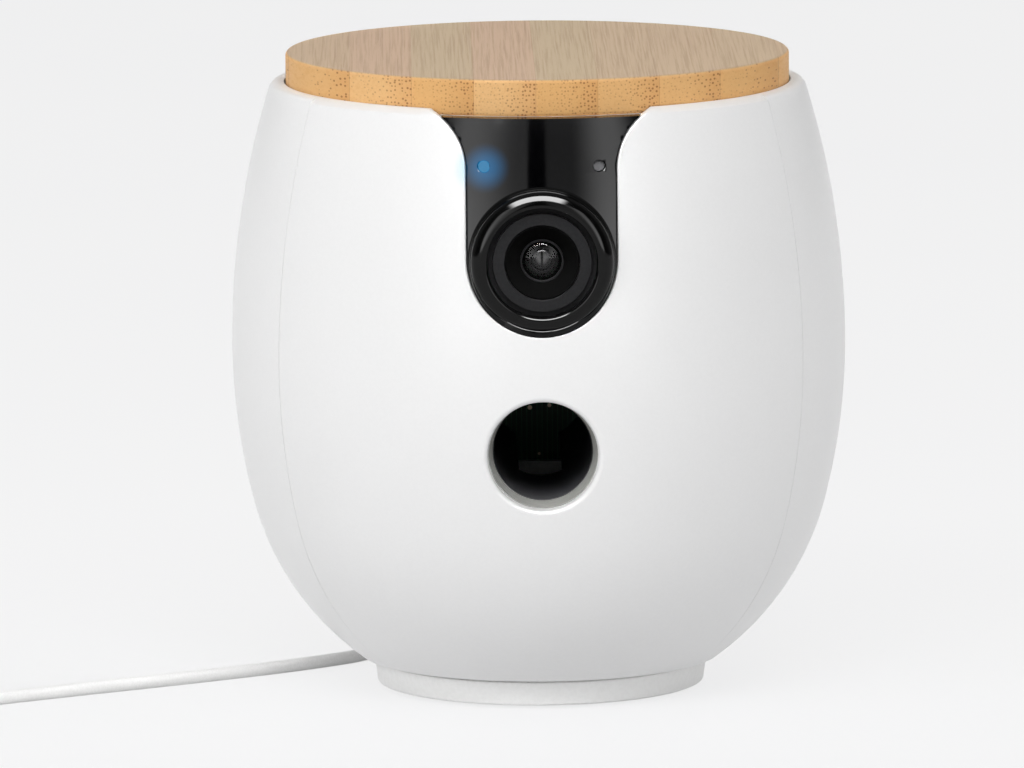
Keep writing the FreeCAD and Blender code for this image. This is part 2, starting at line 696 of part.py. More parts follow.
# Outer shells
def shell_ring():
    ring = egg(0.0, SHELL_FOOT, RIM_HEIGHT)
    ring = ring.cut(egg(SHELL_WALL, SHELL_FOOT - 1, LEDGE_LOW))
    ring = ring.cut(rod(LEDGE_BORE, 0, 0, LEDGE_LOW - 1, RIM_HEIGHT + 1))
    ring = ring.cut(rod(RIM_BORE, 0, 0, FLANGE_LOW, RIM_HEIGHT + 1))
    for height, radius, size in (
        (RIM_HEIGHT, RIM_RADIUS, RIM_WALL / 2),
        (RIM_HEIGHT, RIM_BORE, RIM_WALL / 4),
        (SHELL_FOOT, FOOT_RADIUS, SHELL_WALL / 4),
    ):
        ring = ring.makeFillet(size, circles_at(ring, height, radius))
    return ring


def circles_at(shape, height, radius):
    found = []
    for edge in shape.Edges:
        is_circle = isinstance(edge.Curve, Part.Circle)
        if is_circle and abs(edge.Curve.Center.z - height) < 0.01 and abs(edge.Curve.Radius - radius) < 0.01:
            found.append(edge)
    return found


def panel_blank(gap):
    """Prism of the camera panel's front outline, smaller all round by gap."""
    half = PANEL_WIDTH / 2 - gap
    flare = FLARE_RADIUS + gap
    flare_x = PANEL_WIDTH / 2 + FLARE_RADIUS
    top = RIM_HEIGHT + 0.5
    y = -REACH
    reach_up = top - FLARE_START
    top_x = flare_x - math.sqrt(max(flare ** 2 - reach_up ** 2, 0.01))
    mid_turn = math.asin(min(reach_up / flare, 0.999)) / 2
    mid = vector(flare_x - flare * math.cos(mid_turn), y, FLARE_START + flare * math.sin(mid_turn))
    edges = [
        Part.Arc(vector(-half, y, PANEL_CENTRE), vector(0, y, PANEL_CENTRE - half), vector(half, y, PANEL_CENTRE)),
        Part.LineSegment(vector(half, y, PANEL_CENTRE), vector(half, y, FLARE_START)),
        Part.Arc(vector(half, y, FLARE_START), mid, vector(top_x, y, top)),
        Part.LineSegment(vector(top_x, y, top), vector(-top_x, y, top)),
        Part.Arc(vector(-top_x, y, top), vector(-mid.x, y, mid.z), vector(-half, y, FLARE_START)),
        Part.LineSegment(vector(-half, y, FLARE_START), vector(-half, y, PANEL_CENTRE)),
    ]
    outline = Part.Wire([edge.toShape() for edge in edges])
    return Part.Face(outline).extrude(vector(0, REACH - BODY_RADIUS / 2, 0))


def treat_hole():
    """The hole's inside, with its rounded lip, as a solid to cut away."""
    back = HOLE_BACK - 1
    lip = outline_radius(TREAT_HEIGHT)
    straight = lip - HOLE_ROUND
    corner = HOLE_RADIUS + HOLE_ROUND * (1 - math.sqrt(0.5))
    depth = straight + HOLE_ROUND * math.sqrt(0.5)
    mouth = HOLE_RADIUS + HOLE_ROUND
    edges = [
        Part.makeLine(vector(0, 0, back), vector(BARREL_RADIUS, 0, back)),
        Part.makeLine(vector(BARREL_RADIUS, 0, back), vector(HOLE_RADIUS, 0, straight)),
        Part.Arc(vector(HOLE_RADIUS, 0, straight), vector(corner, 0, depth), vector(mouth, 0, lip)).toShape(),
        Part.makeLine(vector(mouth, 0, lip), vector(mouth, 0, lip + 2)),
        Part.makeLine(vector(mouth, 0, lip + 2), vector(0, 0, lip + 2)),
        Part.makeLine(vector(0, 0, lip + 2), vector(0, 0, back)),
    ]
    return forward(Part.Face(Part.Wire(edges)).revolve(ORIGIN, UP, 360), TREAT_HEIGHT)


def camera_boss(x, height):
    """Boss behind the front wall that the lens housing's ear is screwed to."""
    boss = Part.makeCylinder(STANDOFF_RADIUS, BODY_RADIUS, vector(0, 0, EAR_FRONT), UP)
    return moved(forward(boss, height), x, 0, 0).common(egg(SHELL_WALL / 2, SHELL_FOOT, RIM_HEIGHT))


def camera_screw_places():
    for side in (-1, 1):
        for rise in (-1, 1):
            yield side * EAR_REACH, LENS_HEIGHT + rise * EAR_HEIGHT


def front_shell(ring):
    gap_angle = math.degrees(SEAM_GAP / 2 / BODY_RADIUS)
    shell = ring.common(front_sector(SEAM_ANGLE - gap_angle))
    shell = shell.cut(panel_blank(0.0))
    for angle in TAB_ANGLES_FRONT:
        shell = shell.fuse(shell_tab(angle))
    for x, height in camera_screw_places():
        shell = shell.fuse(camera_boss(x, height))
    shell = shell.cut(treat_hole())
    for x, height in camera_screw_places():
        hole = Part.makeCylinder(SCREW_RADIUS, SCREW_LENGTH - EAR_THICKNESS, vector(0, 0, EAR_FRONT), UP)
        shell = shell.cut(moved(forward(hole, height), x, 0, 0))
    return shell


def treat_spout():
    """Tube behind the hole that leads from the launch barrel to the front wall."""
    radius = HOLE_RADIUS + COLLAR_WALL
    spout = Part.makeCylinder(radius, BODY_RADIUS - HOLE_BACK, vector(0, 0, HOLE_BACK), UP)
    room = egg(SHELL_WALL, SHELL_FOOT, WIDEST_HEIGHT + radius)
    return forward(spout, TREAT_HEIGHT).common(room).cut(treat_hole())


def grille_holes():
    places = [(0.0, 0.0)]
    for ring in range(1, GRILLE_RINGS):
        for step in range(6 * ring):
            angle = 2 * math.pi * step / (6 * ring)
            places.append((ring * GRILLE_PITCH * math.cos(angle), ring * GRILLE_PITCH * math.sin(angle)))
    back = vector(0, 1, 0)
    low = SPEAKER_REAR - 1
    return [Part.makeCylinder(GRILLE_HOLE_RADIUS, 12, vector(x, low, SPEAKER_HEIGHT + z), back) for x, z in places]


def rear_shell(ring):
    gap_angle = math.degrees(SEAM_GAP / 2 / BODY_RADIUS)
    shell = ring.cut(front_sector(SEAM_ANGLE + gap_angle))
    back = vector(0, 1, 0)
    room = egg(SHELL_WALL / 2, SHELL_FOOT, RIM_HEIGHT)
    for angle in TAB_ANGLES_REAR:
        shell = shell.fuse(shell_tab(angle))
    cup_low = vector(0, SPEAKER_REAR - SPEAKER_DEPTH, SPEAKER_HEIGHT)
    cup = Part.makeCylinder(SPEAKER_RADIUS + 1.4, BODY_RADIUS, cup_low, back).common(room)
    cup = cup.cut(Part.makeCylinder(SPEAKER_RADIUS, BODY_RADIUS, cup_low, back))
    shell = shell.fuse(cup)
    for side in (-1, 1):
        place = vector(side * (BUTTON_BOARD_WIDTH / 2 - 2.5), button_board_y() + BOARD_THICKNESS, BUTTON_HEIGHT)
        shell = shell.fuse(Part.makeCylinder(STANDOFF_RADIUS, BODY_RADIUS, place, back).common(room))
    hole = Part.makeCylinder(BUTTON_RADIUS + BUTTON_GAP, BODY_RADIUS, vector(0, BODY_RADIUS / 2, BUTTON_HEIGHT), back)
    return less(shell, grille_holes() + [hole])


# Camera
def camera_panel():
    plate = egg(0.0, SHELL_FOOT, LID_SEAT).cut(egg(SHELL_WALL, SHELL_FOOT - 1, RIM_HEIGHT))
    plate = plate.common(panel_blank(PANEL_GAP))
    bore = forward(Part.makeCylinder(BEZEL_NECK + FIT_GAP, BODY_RADIUS, ORIGIN, UP), LENS_HEIGHT)
    sights = [moved(sight_rod(SIGHT_RADIUS + FIT_GAP, 0, REACH), side * SIGHT_OFFSET, 0, 0) for side in (-1, 1)]
    return less(plate, [bore] + sights)


def sight_rod(radius, start, end):
    return forward(Part.makeCylinder(radius, end - start, vector(0, 0, start), UP), SIGHT_HEIGHT)


def lens_bezel():
    front = BEZEL_FRONT
    crest = (BEZEL_BORE + BEZEL_RADIUS) / 2
    outer_fall = BEZEL_FRONT - BEZEL_ROUND
    edges = [
        Part.makeLine(vector(BEZEL_BORE, 0, BEZEL_BACK), vector(BEZEL_BORE, 0, outer_fall)),
        Part.Arc(
            vector(BEZEL_BORE, 0, outer_fall), vector(crest, 0, front), vector(BEZEL_RADIUS, 0, outer_fall)
        ).toShape(),
        Part.makeLine(vector(BEZEL_RADIUS, 0, outer_fall), vector(BEZEL_RADIUS, 0, BEZEL_BACK)),
        Part.makeLine(vector(BEZEL_RADIUS, 0, BEZEL_BACK), vector(BEZEL_BORE, 0, BEZEL_BACK)),
    ]
    ring = forward(Part.Face(Part.Wire(edges)).revolve(ORIGIN, UP, 360), LENS_HEIGHT)
    neck = forward(Part.makeCylinder(BEZEL_NECK, REACH, ORIGIN, UP), LENS_HEIGHT)
    return fused([ring.cut(egg(0.0, SHELL_FOOT, RIM_HEIGHT)), ring.common(neck)])


def lens_ring_front():
    return BEZEL_FRONT - LENS_RING_RECESS


def lens_ring_back():
    return lens_ring_front() - LENS_RING_DEPTH


def lens_ring():
    outer = BEZEL_BORE - FIT_GAP
    front = lens_ring_front()
    groove = front - LENS_GROOVE_DEPTH
    points = [
        (outer, lens_ring_back()),
        (outer, groove),
        (LENS_RING_FACE_RADIUS, groove),
        (LENS_RING_FACE_RADIUS, front - 0.2),
        (LENS_RING_FACE_RADIUS - 0.2, front),
        (LENS_RING_BORE, front),
        (LENS_RING_BORE, lens_ring_back()),
    ]
    return forward(turned(points), LENS_HEIGHT)


def domed(radius, rise, thickness, base):
    """Lens with a domed front that stands on the depth base."""
    sphere_radius = (radius ** 2 + rise ** 2) / 2 / rise
    centre = base + thickness + rise - sphere_radius
    ball = Part.makeSphere(sphere_radius, vector(0, 0, centre))
    blank = Part.makeCylinder(radius, thickness + rise + 1, vector(0, 0, base), UP)
    return forward(blank.common(ball), LENS_HEIGHT)


def front_lens_base():
    return lens_ring_front() - LENS_FUNNEL_DEPTH - FRONT_LENS_DEPTH


def inner_lens_base():
    return front_lens_base() - INNER_LENS_DEPTH


def front_lens():
    return domed(FRONT_LENS_RADIUS, FRONT_LENS_RISE, FRONT_LENS_DEPTH - FRONT_LENS_RISE, front_lens_base())


def inner_lens():
    return domed(INNER_LENS_RADIUS, INNER_LENS_RISE, INNER_LENS_DEPTH - INNER_LENS_RISE - 0.2, inner_lens_base())


def lens_barrel():
    """Turned barrel: a black funnel at the front, the seats of both lenses, and a narrower tail."""
    front = lens_ring_front() - 0.1
    outer = LENS_RING_BORE - FIT_GAP
    back = lens_ring_front() - LENS_BARREL_LENGTH
    front_seat = FRONT_LENS_RADIUS + FIT_GAP
    inner_seat = INNER_LENS_RADIUS + FIT_GAP
    points = [
        (0.0, back),
        (BARREL_TAIL_RADIUS, back),
        (BARREL_TAIL_RADIUS, front - BARREL_SHOULDER),
        (outer, front - BARREL_SHOULDER),
        (outer, front),
        (outer - 0.3, front),
        (front_seat, lens_ring_front() - LENS_FUNNEL_DEPTH),
        (front_seat, front_lens_base()),
        (inner_seat, front_lens_base()),
        (inner_seat, inner_lens_base()),
        (0.0, inner_lens_base()),
    ]
    return forward(turned(points), LENS_HEIGHT)


def camera_board_front():
    return lens_ring_front() - LENS_BARREL_LENGTH


def camera_board():
    half = CAMERA_BOARD_SIZE / 2
    front = camera_board_front()
    board = block(-half, half, -half, half, front - BOARD_THICKNESS, front)
    return forward(board, LENS_HEIGHT)


def camera_housing():
    """Cup that holds the lens barrel's parts behind the bezel, with an ear each side."""
    outer = BEZEL_NECK
    inner = outer - HOUSING_WALL
    front = BEZEL_BACK
    back = camera_board_front()
    cup = pipe(outer, inner, 0, 0, back, front)
    spoke_inner = BARREL_TAIL_RADIUS
    web = pipe(outer, spoke_inner, 0, 0, back + 1.0, back + 2.2)
    ears = []
    for side in (-1, 1):
        near = inner * side
        far = (EAR_REACH + STANDOFF_RADIUS + 0.6) * side
        half = EAR_HEIGHT + STANDOFF_RADIUS
        ears.append(block(min(near, far), max(near, far), -half, half, EAR_FRONT - EAR_THICKNESS, EAR_FRONT))
    whole = fused([cup, web] + ears).cut(rod(inner, 0, 0, back + 2.2, front + 1))
    for x, height in camera_screw_places():
        whole = whole.cut(rod(SCREW_RADIUS + FIT_GAP, x, height - LENS_HEIGHT, 0, BODY_RADIUS))
    return forward(whole, LENS_HEIGHT)


def led_board_front():
    return lens_ring_back() - LED_HEIGHT - 0.4


def infrared_board():
    front = led_board_front()
    outer = BEZEL_NECK - HOUSING_WALL
    return forward(pipe(outer, LENS_RING_BORE + FIT_GAP, 0, 0, front - 1.0, front), LENS_HEIGHT)


def infrared_leds():
    front = led_board_front()
    base = rod(LED_RADIUS, LED_CIRCLE, 0, front, front + LED_HEIGHT - LED_RADIUS)
    dome = Part.makeSphere(LED_RADIUS, vector(LED_CIRCLE, 0, front + LED_HEIGHT - LED_RADIUS))
    return [forward(led, LENS_HEIGHT) for led in around(base.fuse(dome).removeSplitter(), LED_COUNT)]


def sensor_board():
    half = SENSOR_BOARD_WIDTH / 2
    rise = SENSOR_BOARD_HEIGHT / 2
    front = SENSOR_BOARD_DEPTH + BOARD_THICKNESS
    board = block(-half, half, -rise, rise, SENSOR_BOARD_DEPTH, front)
    microphone = sight_rod(SIGHT_RADIUS + 0.9, front, front + 1.2)
    return [forward(board, SIGHT_HEIGHT), moved(microphone, SIGHT_OFFSET, 0, 0)]


def sight_plug(inset, thickness):
    """Round plug in one of the panel's two small holes, following the panel's curved face."""
    body = sight_rod(SIGHT_RADIUS, SENSOR_BOARD_DEPTH + BOARD_THICKNESS, REACH)
    body = moved(body, SIGHT_OFFSET, 0, 0).common(egg(inset, SHELL_FOOT, RIM_HEIGHT - 0.2))
    if thickness:
        body = body.cut(egg(inset + thickness, SHELL_FOOT - 1, RIM_HEIGHT))
    return body


def status_light():
    return sight_plug(0.0, 0.0).mirror(ORIGIN, ACROSS)


def microphone_mesh():
    return sight_plug(MESH_RECESS, MESH_THICKNESS)


# Launcher
def launcher_frame():
    inner = FRAME_GAP / 2
    plates = []
    for side in (-1, 1):
        low = min(side * inner, side * FRAME_SIDE)
        plates.append(block(low, low + FRAME_PLATE, -FRAME_FRONT, FRAME_REAR, TURNTABLE_TOP, FRAME_TOP))
        foot_low = min(side * FRAME_SIDE, side * (FRAME_SIDE + FRAME_FOOT))
        foot_high = foot_low + FRAME_FOOT
        foot_top = TURNTABLE_TOP + FRAME_FOOT_THICKNESS
        for near in FRAME_FOOT_STARTS:
            plates.append(block(foot_low, foot_high, near, near + FRAME_FOOT_LENGTH, TURNTABLE_TOP, foot_top))
    cross_low = TURNTABLE_TOP + TAB_THICKNESS + 1.0
    cross_top = TURNTABLE_TOP + FRAME_CROSS_HEIGHT
    for near in (-FRAME_FRONT, FRAME_REAR - FRAME_PLATE):
        plates.append(block(-inner, inner, near, near + FRAME_PLATE, cross_low, cross_top))
    for x, height in standoff_places():
        post = Part.makeCylinder(
            STANDOFF_RADIUS, MAIN_BOARD_Y - FRAME_REAR, vector(x, FRAME_REAR, height), vector(0, 1, 0)
        )
        plates.append(post)
    frame = fused(plates)
    cutters = [sideways(rod(bush_radius(), 0, 0, -REACH, REACH), 0, LAUNCH_SHAFT_Y, LAUNCH_SHAFT_Z)]
    motor_neck = rod(GEARMOTOR_BOSS + 0.4, -SWIVEL_CENTRES, 0, 0, TURNTABLE_TOP + GEARMOTOR_HEIGHT / 3 + 0.4)
    cutters.append(motor_neck)
    for x, y in frame_screw_places():
        cutters.append(rod(SCREW_RADIUS, x, y, 0, LAUNCH_SHAFT_Z / 2))
    return less(frame, cutters)


def frame_screw_places():
    x = FRAME_SIDE + FRAME_FOOT / 2 + 0.4
    for side in (-1, 1):
        for near in FRAME_FOOT_STARTS:
            yield side * x, near + FRAME_FOOT_LENGTH / 2


def standoff_places():
    for side in (-1, 1):
        yield side * FRAME_GAP * 0.42, MAIN_BOARD_LOW + 3
        yield side * FRAME_GAP * 0.42, TURNTABLE_TOP + FRAME_CROSS_HEIGHT - 3


def bush_radius():
    return LAUNCH_SHAFT_RADIUS + RUNNING_PLAY + BUSH_WALL


def launch_bushes():
    bushes = []
    bore = LAUNCH_SHAFT_RADIUS + RUNNING_PLAY
    for side in (-1, 1):
        tube = pipe(bush_radius(), bore, 0, 0, FRAME_GAP / 2, FRAME_SIDE)
        flange_high = FRAME_GAP / 2
        flange = pipe(bush_radius() + 1.2, bore, 0, 0, flange_high - BUSH_FLANGE, flange_high)
        bush = fused([tube, flange])
        if side < 0:
            bush = bush.mirror(ORIGIN, UP)
        bushes.append(sideways(bush, 0, LAUNCH_SHAFT_Y, LAUNCH_SHAFT_Z))
    return bushes


def launch_barrel():
    outer = BARREL_RADIUS + BARREL_WALL
    length = HOLE_BACK + BARREL_REAR
    back = vector(0, 1, 0)
    start = vector(0, -HOLE_BACK, TREAT_HEIGHT)
    tube = Part.makeCylinder(outer, length, start, back)
    lug_reach = FRAME_GAP / 2
    lugs = []
    for near in (-FRAME_FRONT + 2, BARREL_REAR - 10):
        lugs.append(block(-lug_reach, lug_reach, near, near + 8, TREAT_HEIGHT - 5, TREAT_HEIGHT + 5))
    inside = Part.makeCylinder(BARREL_RADIUS, length + 2, start - back, back)
    drop = rod(CHUTE_RADIUS, 0, DROP_Y, TREAT_HEIGHT, FRAME_TOP + 1)
    half = FINGER_WIDTH / 2 + FINGER_CLEARANCE
    slot_front = LAUNCH_SHAFT_Y - FINGER_REACH - FINGER_CLEARANCE
    slot = block(-half, half, slot_front, BARREL_REAR + 1, TREAT_HEIGHT - outer - 1, TREAT_HEIGHT)
    return less(fused([tube] + lugs), [inside, drop, slot])


def drop_chute():
    """Short tube that stands on the launch barrel under the wheel's drop hole."""
    tube = pipe(CHUTE_RADIUS + BARREL_WALL, CHUTE_RADIUS, 0, DROP_Y, TREAT_HEIGHT, FRAME_TOP)
    start = vector(0, -REACH, TREAT_HEIGHT)
    barrel = Part.makeCylinder(BARREL_RADIUS + BARREL_WALL, 2 * REACH, start, vector(0, 1, 0))
    return tube.cut(barrel)


def launch_shaft():
    end = FRAME_SIDE + LAUNCH_GEAR_GAP + GEAR_WIDTH + 0.6
    return sideways(rod(LAUNCH_SHAFT_RADIUS, 0, 0, -FRAME_SIDE - 1.5, end), 0, LAUNCH_SHAFT_Y, LAUNCH_SHAFT_Z)


def launch_finger():
    """Hub on the shaft with one finger that hangs down at rest."""
    half = FINGER_WIDTH / 2
    hub = sideways(rod(FINGER_HUB_RADIUS, 0, 0, -half, half), 0, LAUNCH_SHAFT_Y, LAUNCH_SHAFT_Z)
    y = LAUNCH_SHAFT_Y - FINGER_THICKNESS / 2
    low = LAUNCH_SHAFT_Z - FINGER_REACH
    arm = block(-half, half, y, y + FINGER_THICKNESS, low, LAUNCH_SHAFT_Z)
    tip_edges = [edge for edge in arm.Edges if abs(edge.CenterOfMass.z - low) < 0.01 and edge.Length > half]
    arm = arm.makeFillet(FINGER_THICKNESS / 3, [edge for edge in tip_edges if abs(edge.CenterOfMass.x) < 0.01])
    bore = sideways(rod(LAUNCH_SHAFT_RADIUS, 0, 0, -REACH, REACH), 0, LAUNCH_SHAFT_Y, LAUNCH_SHAFT_Z)
    return hub.fuse(arm).cut(bore).removeSplitter()


def finger_pad():
    """Soft pad on the finger's striking side, which faces the rear while the finger hangs down."""
    half = FINGER_WIDTH / 2
    y = LAUNCH_SHAFT_Y + FINGER_THICKNESS / 2
    low = LAUNCH_SHAFT_Z - FINGER_REACH + 1.6
    return block(-half, half, y, y + PAD_THICKNESS, low, low + PAD_HEIGHT)


def launch_gear():
    wheel = gear(LAUNCH_TEETH, DRIVE_MODULE, GEAR_WIDTH, 90.0 + LAUNCH_PINION_ANGLE)
    pitch = LAUNCH_TEETH * DRIVE_MODULE / 2
    wheel = wheel.cut(rod(LAUNCH_SHAFT_RADIUS, 0, 0, -1, GEAR_WIDTH + 1))
    hole = rod(pitch / 6, pitch / 1.8, 0, -1, GEAR_WIDTH + 1)
    wheel = less(wheel, around(hole, 5))
    return sideways(wheel, FRAME_SIDE + LAUNCH_GEAR_GAP, LAUNCH_SHAFT_Y, LAUNCH_SHAFT_Z)


def launch_pinion_place():
    angle = math.radians(LAUNCH_PINION_ANGLE)
    return LAUNCH_SHAFT_Y + LAUNCH_CENTRES * math.cos(angle), LAUNCH_SHAFT_Z + LAUNCH_CENTRES * math.sin(angle)


def bracket_x():
    return FRAME_SIDE + LAUNCH_GEAR_GAP + GEAR_WIDTH + BRACKET_GAP


def launch_pinion():
    y, z = launch_pinion_place()
    tooth_at = 270.0 + LAUNCH_PINION_ANGLE + 180.0 / PINION_TEETH
    teeth = gear(PINION_TEETH, DRIVE_MODULE, GEAR_WIDTH, tooth_at)
    end = bracket_x() + BRACKET_THICKNESS + LAUNCH_MOTOR_LENGTH / 3 - FRAME_SIDE - LAUNCH_GEAR_GAP
    return sideways(teeth.fuse(rod(SHAFT_RADIUS, 0, 0, 0, end)), FRAME_SIDE + LAUNCH_GEAR_GAP, y, z)


def bracket_post_places():
    y, z = launch_pinion_place()
    yield y + 10.5, z - 9.0
    yield y + 10.5, z + 9.5
    yield y - 11.0, z + 11.0


def motor_bracket():
    y, z = launch_pinion_place()
    x = bracket_x()
    plate = rounded_block(x, x + BRACKET_THICKNESS, y - 14, y + 13.6, z - 12, z + 14, 4.0, ACROSS)
    posts = []
    for post_y, post_z in bracket_post_places():
        posts.append(sideways(rod(BRACKET_POST_RADIUS, 0, 0, FRAME_SIDE, x), 0, post_y, post_z))
    hole = sideways(rod(GEARMOTOR_BOSS, 0, 0, x - 1, x + BRACKET_THICKNESS + 1), 0, y, z)
    return less(fused([plate] + posts), [hole])


def launch_motor():
    y, z = launch_pinion_place()
    start = bracket_x() + BRACKET_THICKNESS
    can = rod(LAUNCH_MOTOR_RADIUS, 0, 0, start, start + LAUNCH_MOTOR_LENGTH)
    nose = rod(GEARMOTOR_BOSS - FIT_GAP, 0, 0, start - BRACKET_THICKNESS, start)
    shaft = rod(SHAFT_RADIUS + RUNNING_PLAY, 0, 0, 0, start + LAUNCH_MOTOR_LENGTH / 3 + 0.5)
    end = can.fuse(nose).removeSplitter().cut(shaft)
    return sideways(end, 0, y, z)


# Treat wheel
def wheel_pinion_place():
    angle = math.radians(WHEEL_PINION_ANGLE)
    return WHEEL_CENTRES * math.cos(angle), WHEEL_CENTRE + WHEEL_CENTRES * math.sin(angle)


def wheel_housing():
    outer = HOUSING_BORE + WHEEL_HOUSING_WALL
    floor_top = FRAME_TOP + WHEEL_FLOOR
    x, y = wheel_pinion_place()
    floor = rod(outer, 0, WHEEL_CENTRE, FRAME_TOP, floor_top)
    wall = pipe(outer, HOUSING_BORE, 0, WHEEL_CENTRE, FRAME_TOP, HOPPER_FLOOR_LOW)
    ear = rod(GEARMOTOR_RADIUS + 1, x - GEARMOTOR_OFFSET, y, FRAME_TOP, floor_top)
    neck = rod(PINION_TIP + PINION_WINDOW, x, y, FRAME_TOP, floor_top)
    cheek = pipe(PINION_TIP + PINION_WINDOW + 1.4, PINION_TIP + PINION_WINDOW, x, y, FRAME_TOP, HOPPER_FLOOR_LOW)
    cheek = cheek.cut(rod(HOUSING_BORE, 0, WHEEL_CENTRE, 0, BODY_RADIUS * 2))
    body = fused([floor, wall, ear, neck, cheek])
    cutters = [
        rod(PINION_TIP + PINION_WINDOW, x, y, floor_top, HOPPER_FLOOR_LOW + 1),
        rod(GEARMOTOR_BOSS, x, y, 0, HOPPER_FLOOR_LOW),
        rod(CHUTE_RADIUS, 0, DROP_Y, 0, HOPPER_FLOOR_LOW),
    ]
    pin = rod(WHEEL_PIN_RADIUS, 0, WHEEL_CENTRE, FRAME_TOP, WHEEL_TOP - 1)
    return less(body, cutters).fuse(pin)


def treat_wheel():
    teeth = gear(WHEEL_TEETH, DRIVE_MODULE, WHEEL_GEAR_WIDTH, WHEEL_PINION_ANGLE)
    root = WHEEL_TEETH * DRIVE_MODULE / 2 - DEDENDUM * DRIVE_MODULE
    drum = rod(root - WHEEL_RIM_GAP + 0.2, 0, 0, 0, WHEEL_THICKNESS)
    hub = Part.makeCone(HUB_RADIUS, HUB_RADIUS / 2, HUB_RISE, vector(0, 0, WHEEL_THICKNESS), UP)
    body = teeth.fuse(drum).fuse(hub)
    pocket = rod(POCKET_RADIUS, 0, -POCKET_CIRCLE, -1, WHEEL_THICKNESS + 1)
    bore = rod(WHEEL_PIN_RADIUS + RUNNING_PLAY, 0, 0, -1, WHEEL_THICKNESS - 1 + 0.3)
    body = less(body, around(pocket, POCKET_COUNT) + [bore])
    return moved(body, 0, WHEEL_CENTRE, WHEEL_LOW)


def wheel_motor():
    x, y = wheel_pinion_place()
    motor = gearmotor().mirror(ORIGIN, UP)
    return moved(motor, x, y, FRAME_TOP)


def wheel_pinion():
    x, y = wheel_pinion_place()
    tooth_at = WHEEL_PINION_ANGLE + 180.0 + 180.0 / PINION_TEETH
    teeth = moved(gear(PINION_TEETH, DRIVE_MODULE, WHEEL_GEAR_WIDTH, tooth_at), x, y, WHEEL_LOW)
    return teeth.fuse(rod(SHAFT_RADIUS, x, y, FRAME_TOP - 4.0, WHEEL_LOW + WHEEL_GEAR_WIDTH))


# Hopper
def hopper_form(inset, low, mouth_top):
    """Solid of the hopper's outside, or of its inside when inset is the wall."""
    radius = HOPPER_RADIUS + HOPPER_WALL - inset
    front = HOPPER_FRONT + HOPPER_WALL - inset
    slope = math.tan(math.radians(HOPPER_SLOPE))
    shelf = HOPPER_SHELF + inset
    floor_radius = HOPPER_MOUTH_RADIUS + 2 * HOPPER_WALL - inset
    cone_rise = shelf - low + 1
    cone = Part.makeCone(floor_radius, floor_radius + cone_rise / slope, cone_rise, vector(0, WHEEL_CENTRE, low), UP)
    room = rod(radius, 0, 0, low, shelf + 1)
    room = room.cut(block(-REACH, REACH, -REACH, -front, 0, REACH))
    return fused([cone.common(room), rod(radius, 0, 0, shelf, mouth_top)])


def hopper_bowl():
    outside = hopper_form(0.0, HOPPER_FLOOR_LOW, LID_SEAT)
    flange = rod(RIM_BORE - FLANGE_GAP, 0, 0, FLANGE_LOW, LID_SEAT)
    inside = hopper_form(HOPPER_WALL, HOPPER_FLOOR, LID_SEAT + 1)
    mouth = rod(HOPPER_MOUTH_RADIUS, 0, WHEEL_CENTRE, 0, HOPPER_FLOOR + 1)
    cover_edge = DROP_Y + CHUTE_RADIUS + 0.5
    mouth = mouth.cut(block(-REACH, REACH, -REACH, cover_edge, 0, REACH))
    return less(outside.fuse(flange), [inside, mouth])


# Lid
def lid_board():
    disc = rod(LID_RADIUS, 0, 0, LID_SEAT, LID_SEAT + LID_THICKNESS)
    rims = [edge for edge in disc.Edges if len(edge.Vertexes) == 1]
    disc = disc.makeFillet(LID_ROUND, rims)
    holes = around(rod(SCREW_RADIUS, lid_screw_radius(), 0, 0, LID_SEAT + 2.6), LID_SCREWS, 45)
    return less(disc, holes)


def lid_screw_radius():
    return PLUG_RADIUS - PLUG_WALL - SCREW_HEAD_RADIUS - 4.0


def lid_plug():
    low = LID_SEAT - PLUG_DEPTH
    cup = rod(PLUG_RADIUS, 0, 0, low, LID_SEAT).cut(rod(PLUG_RADIUS - PLUG_WALL, 0, 0, low - 1, LID_SEAT - 1.6))
    groove = pipe(PLUG_RADIUS + 1, PLUG_RADIUS - 1.2, 0, 0, low + 0.8, low + 0.8 + SEAL_HEIGHT)
    holes = around(rod(SCREW_RADIUS + FIT_GAP, lid_screw_radius(), 0, 0, LID_SEAT + 1), LID_SCREWS, 45)
    return less(cup, [groove] + holes)


def lid_seal():
    low = LID_SEAT - PLUG_DEPTH + 0.8
    return pipe(HOPPER_RADIUS - SEAL_GAP, PLUG_RADIUS - 1.2, 0, 0, low, low + SEAL_HEIGHT)


def lid_screws():
    return around(moved(screw(1.6 + 2.4), lid_screw_radius(), 0, LID_SEAT - 1.6), LID_SCREWS, 45)


# Boards, speaker and button
def main_board():
    half = MAIN_BOARD_WIDTH / 2
    y = MAIN_BOARD_Y
    board = block(-half, half, y, y + BOARD_THICKNESS, MAIN_BOARD_LOW, MAIN_BOARD_HIGH)
    rear = y + BOARD_THICKNESS
    shield = block(-16, 2, rear, rear + 2.4, 46, 66)
    memory = block(8, 18, rear, rear + 1.2, 50, 62)
    plug = block(-10, 10, rear, rear + 3.2, 25, 30)
    radio = block(8, 22, rear, rear + 1.8, 33, 45)
    return fused([board, shield, memory, plug, radio])


def speaker():
    back = vector(0, 1, 0)
    start = SPEAKER_REAR - SPEAKER_DEPTH
    frame = Part.makeCylinder(SPEAKER_RADIUS, SPEAKER_DEPTH - 2, vector(0, start + 2, SPEAKER_HEIGHT), back)
    magnet = Part.makeCylinder(SPEAKER_RADIUS / 1.8, 2, vector(0, start, SPEAKER_HEIGHT), back)
    dish = Part.makeCone(
        SPEAKER_RADIUS / 3, SPEAKER_RADIUS - 1.5, 1.6, vector(0, SPEAKER_REAR - 1.6, SPEAKER_HEIGHT), back
    )
    return frame.fuse(magnet).cut(dish).removeSplitter()


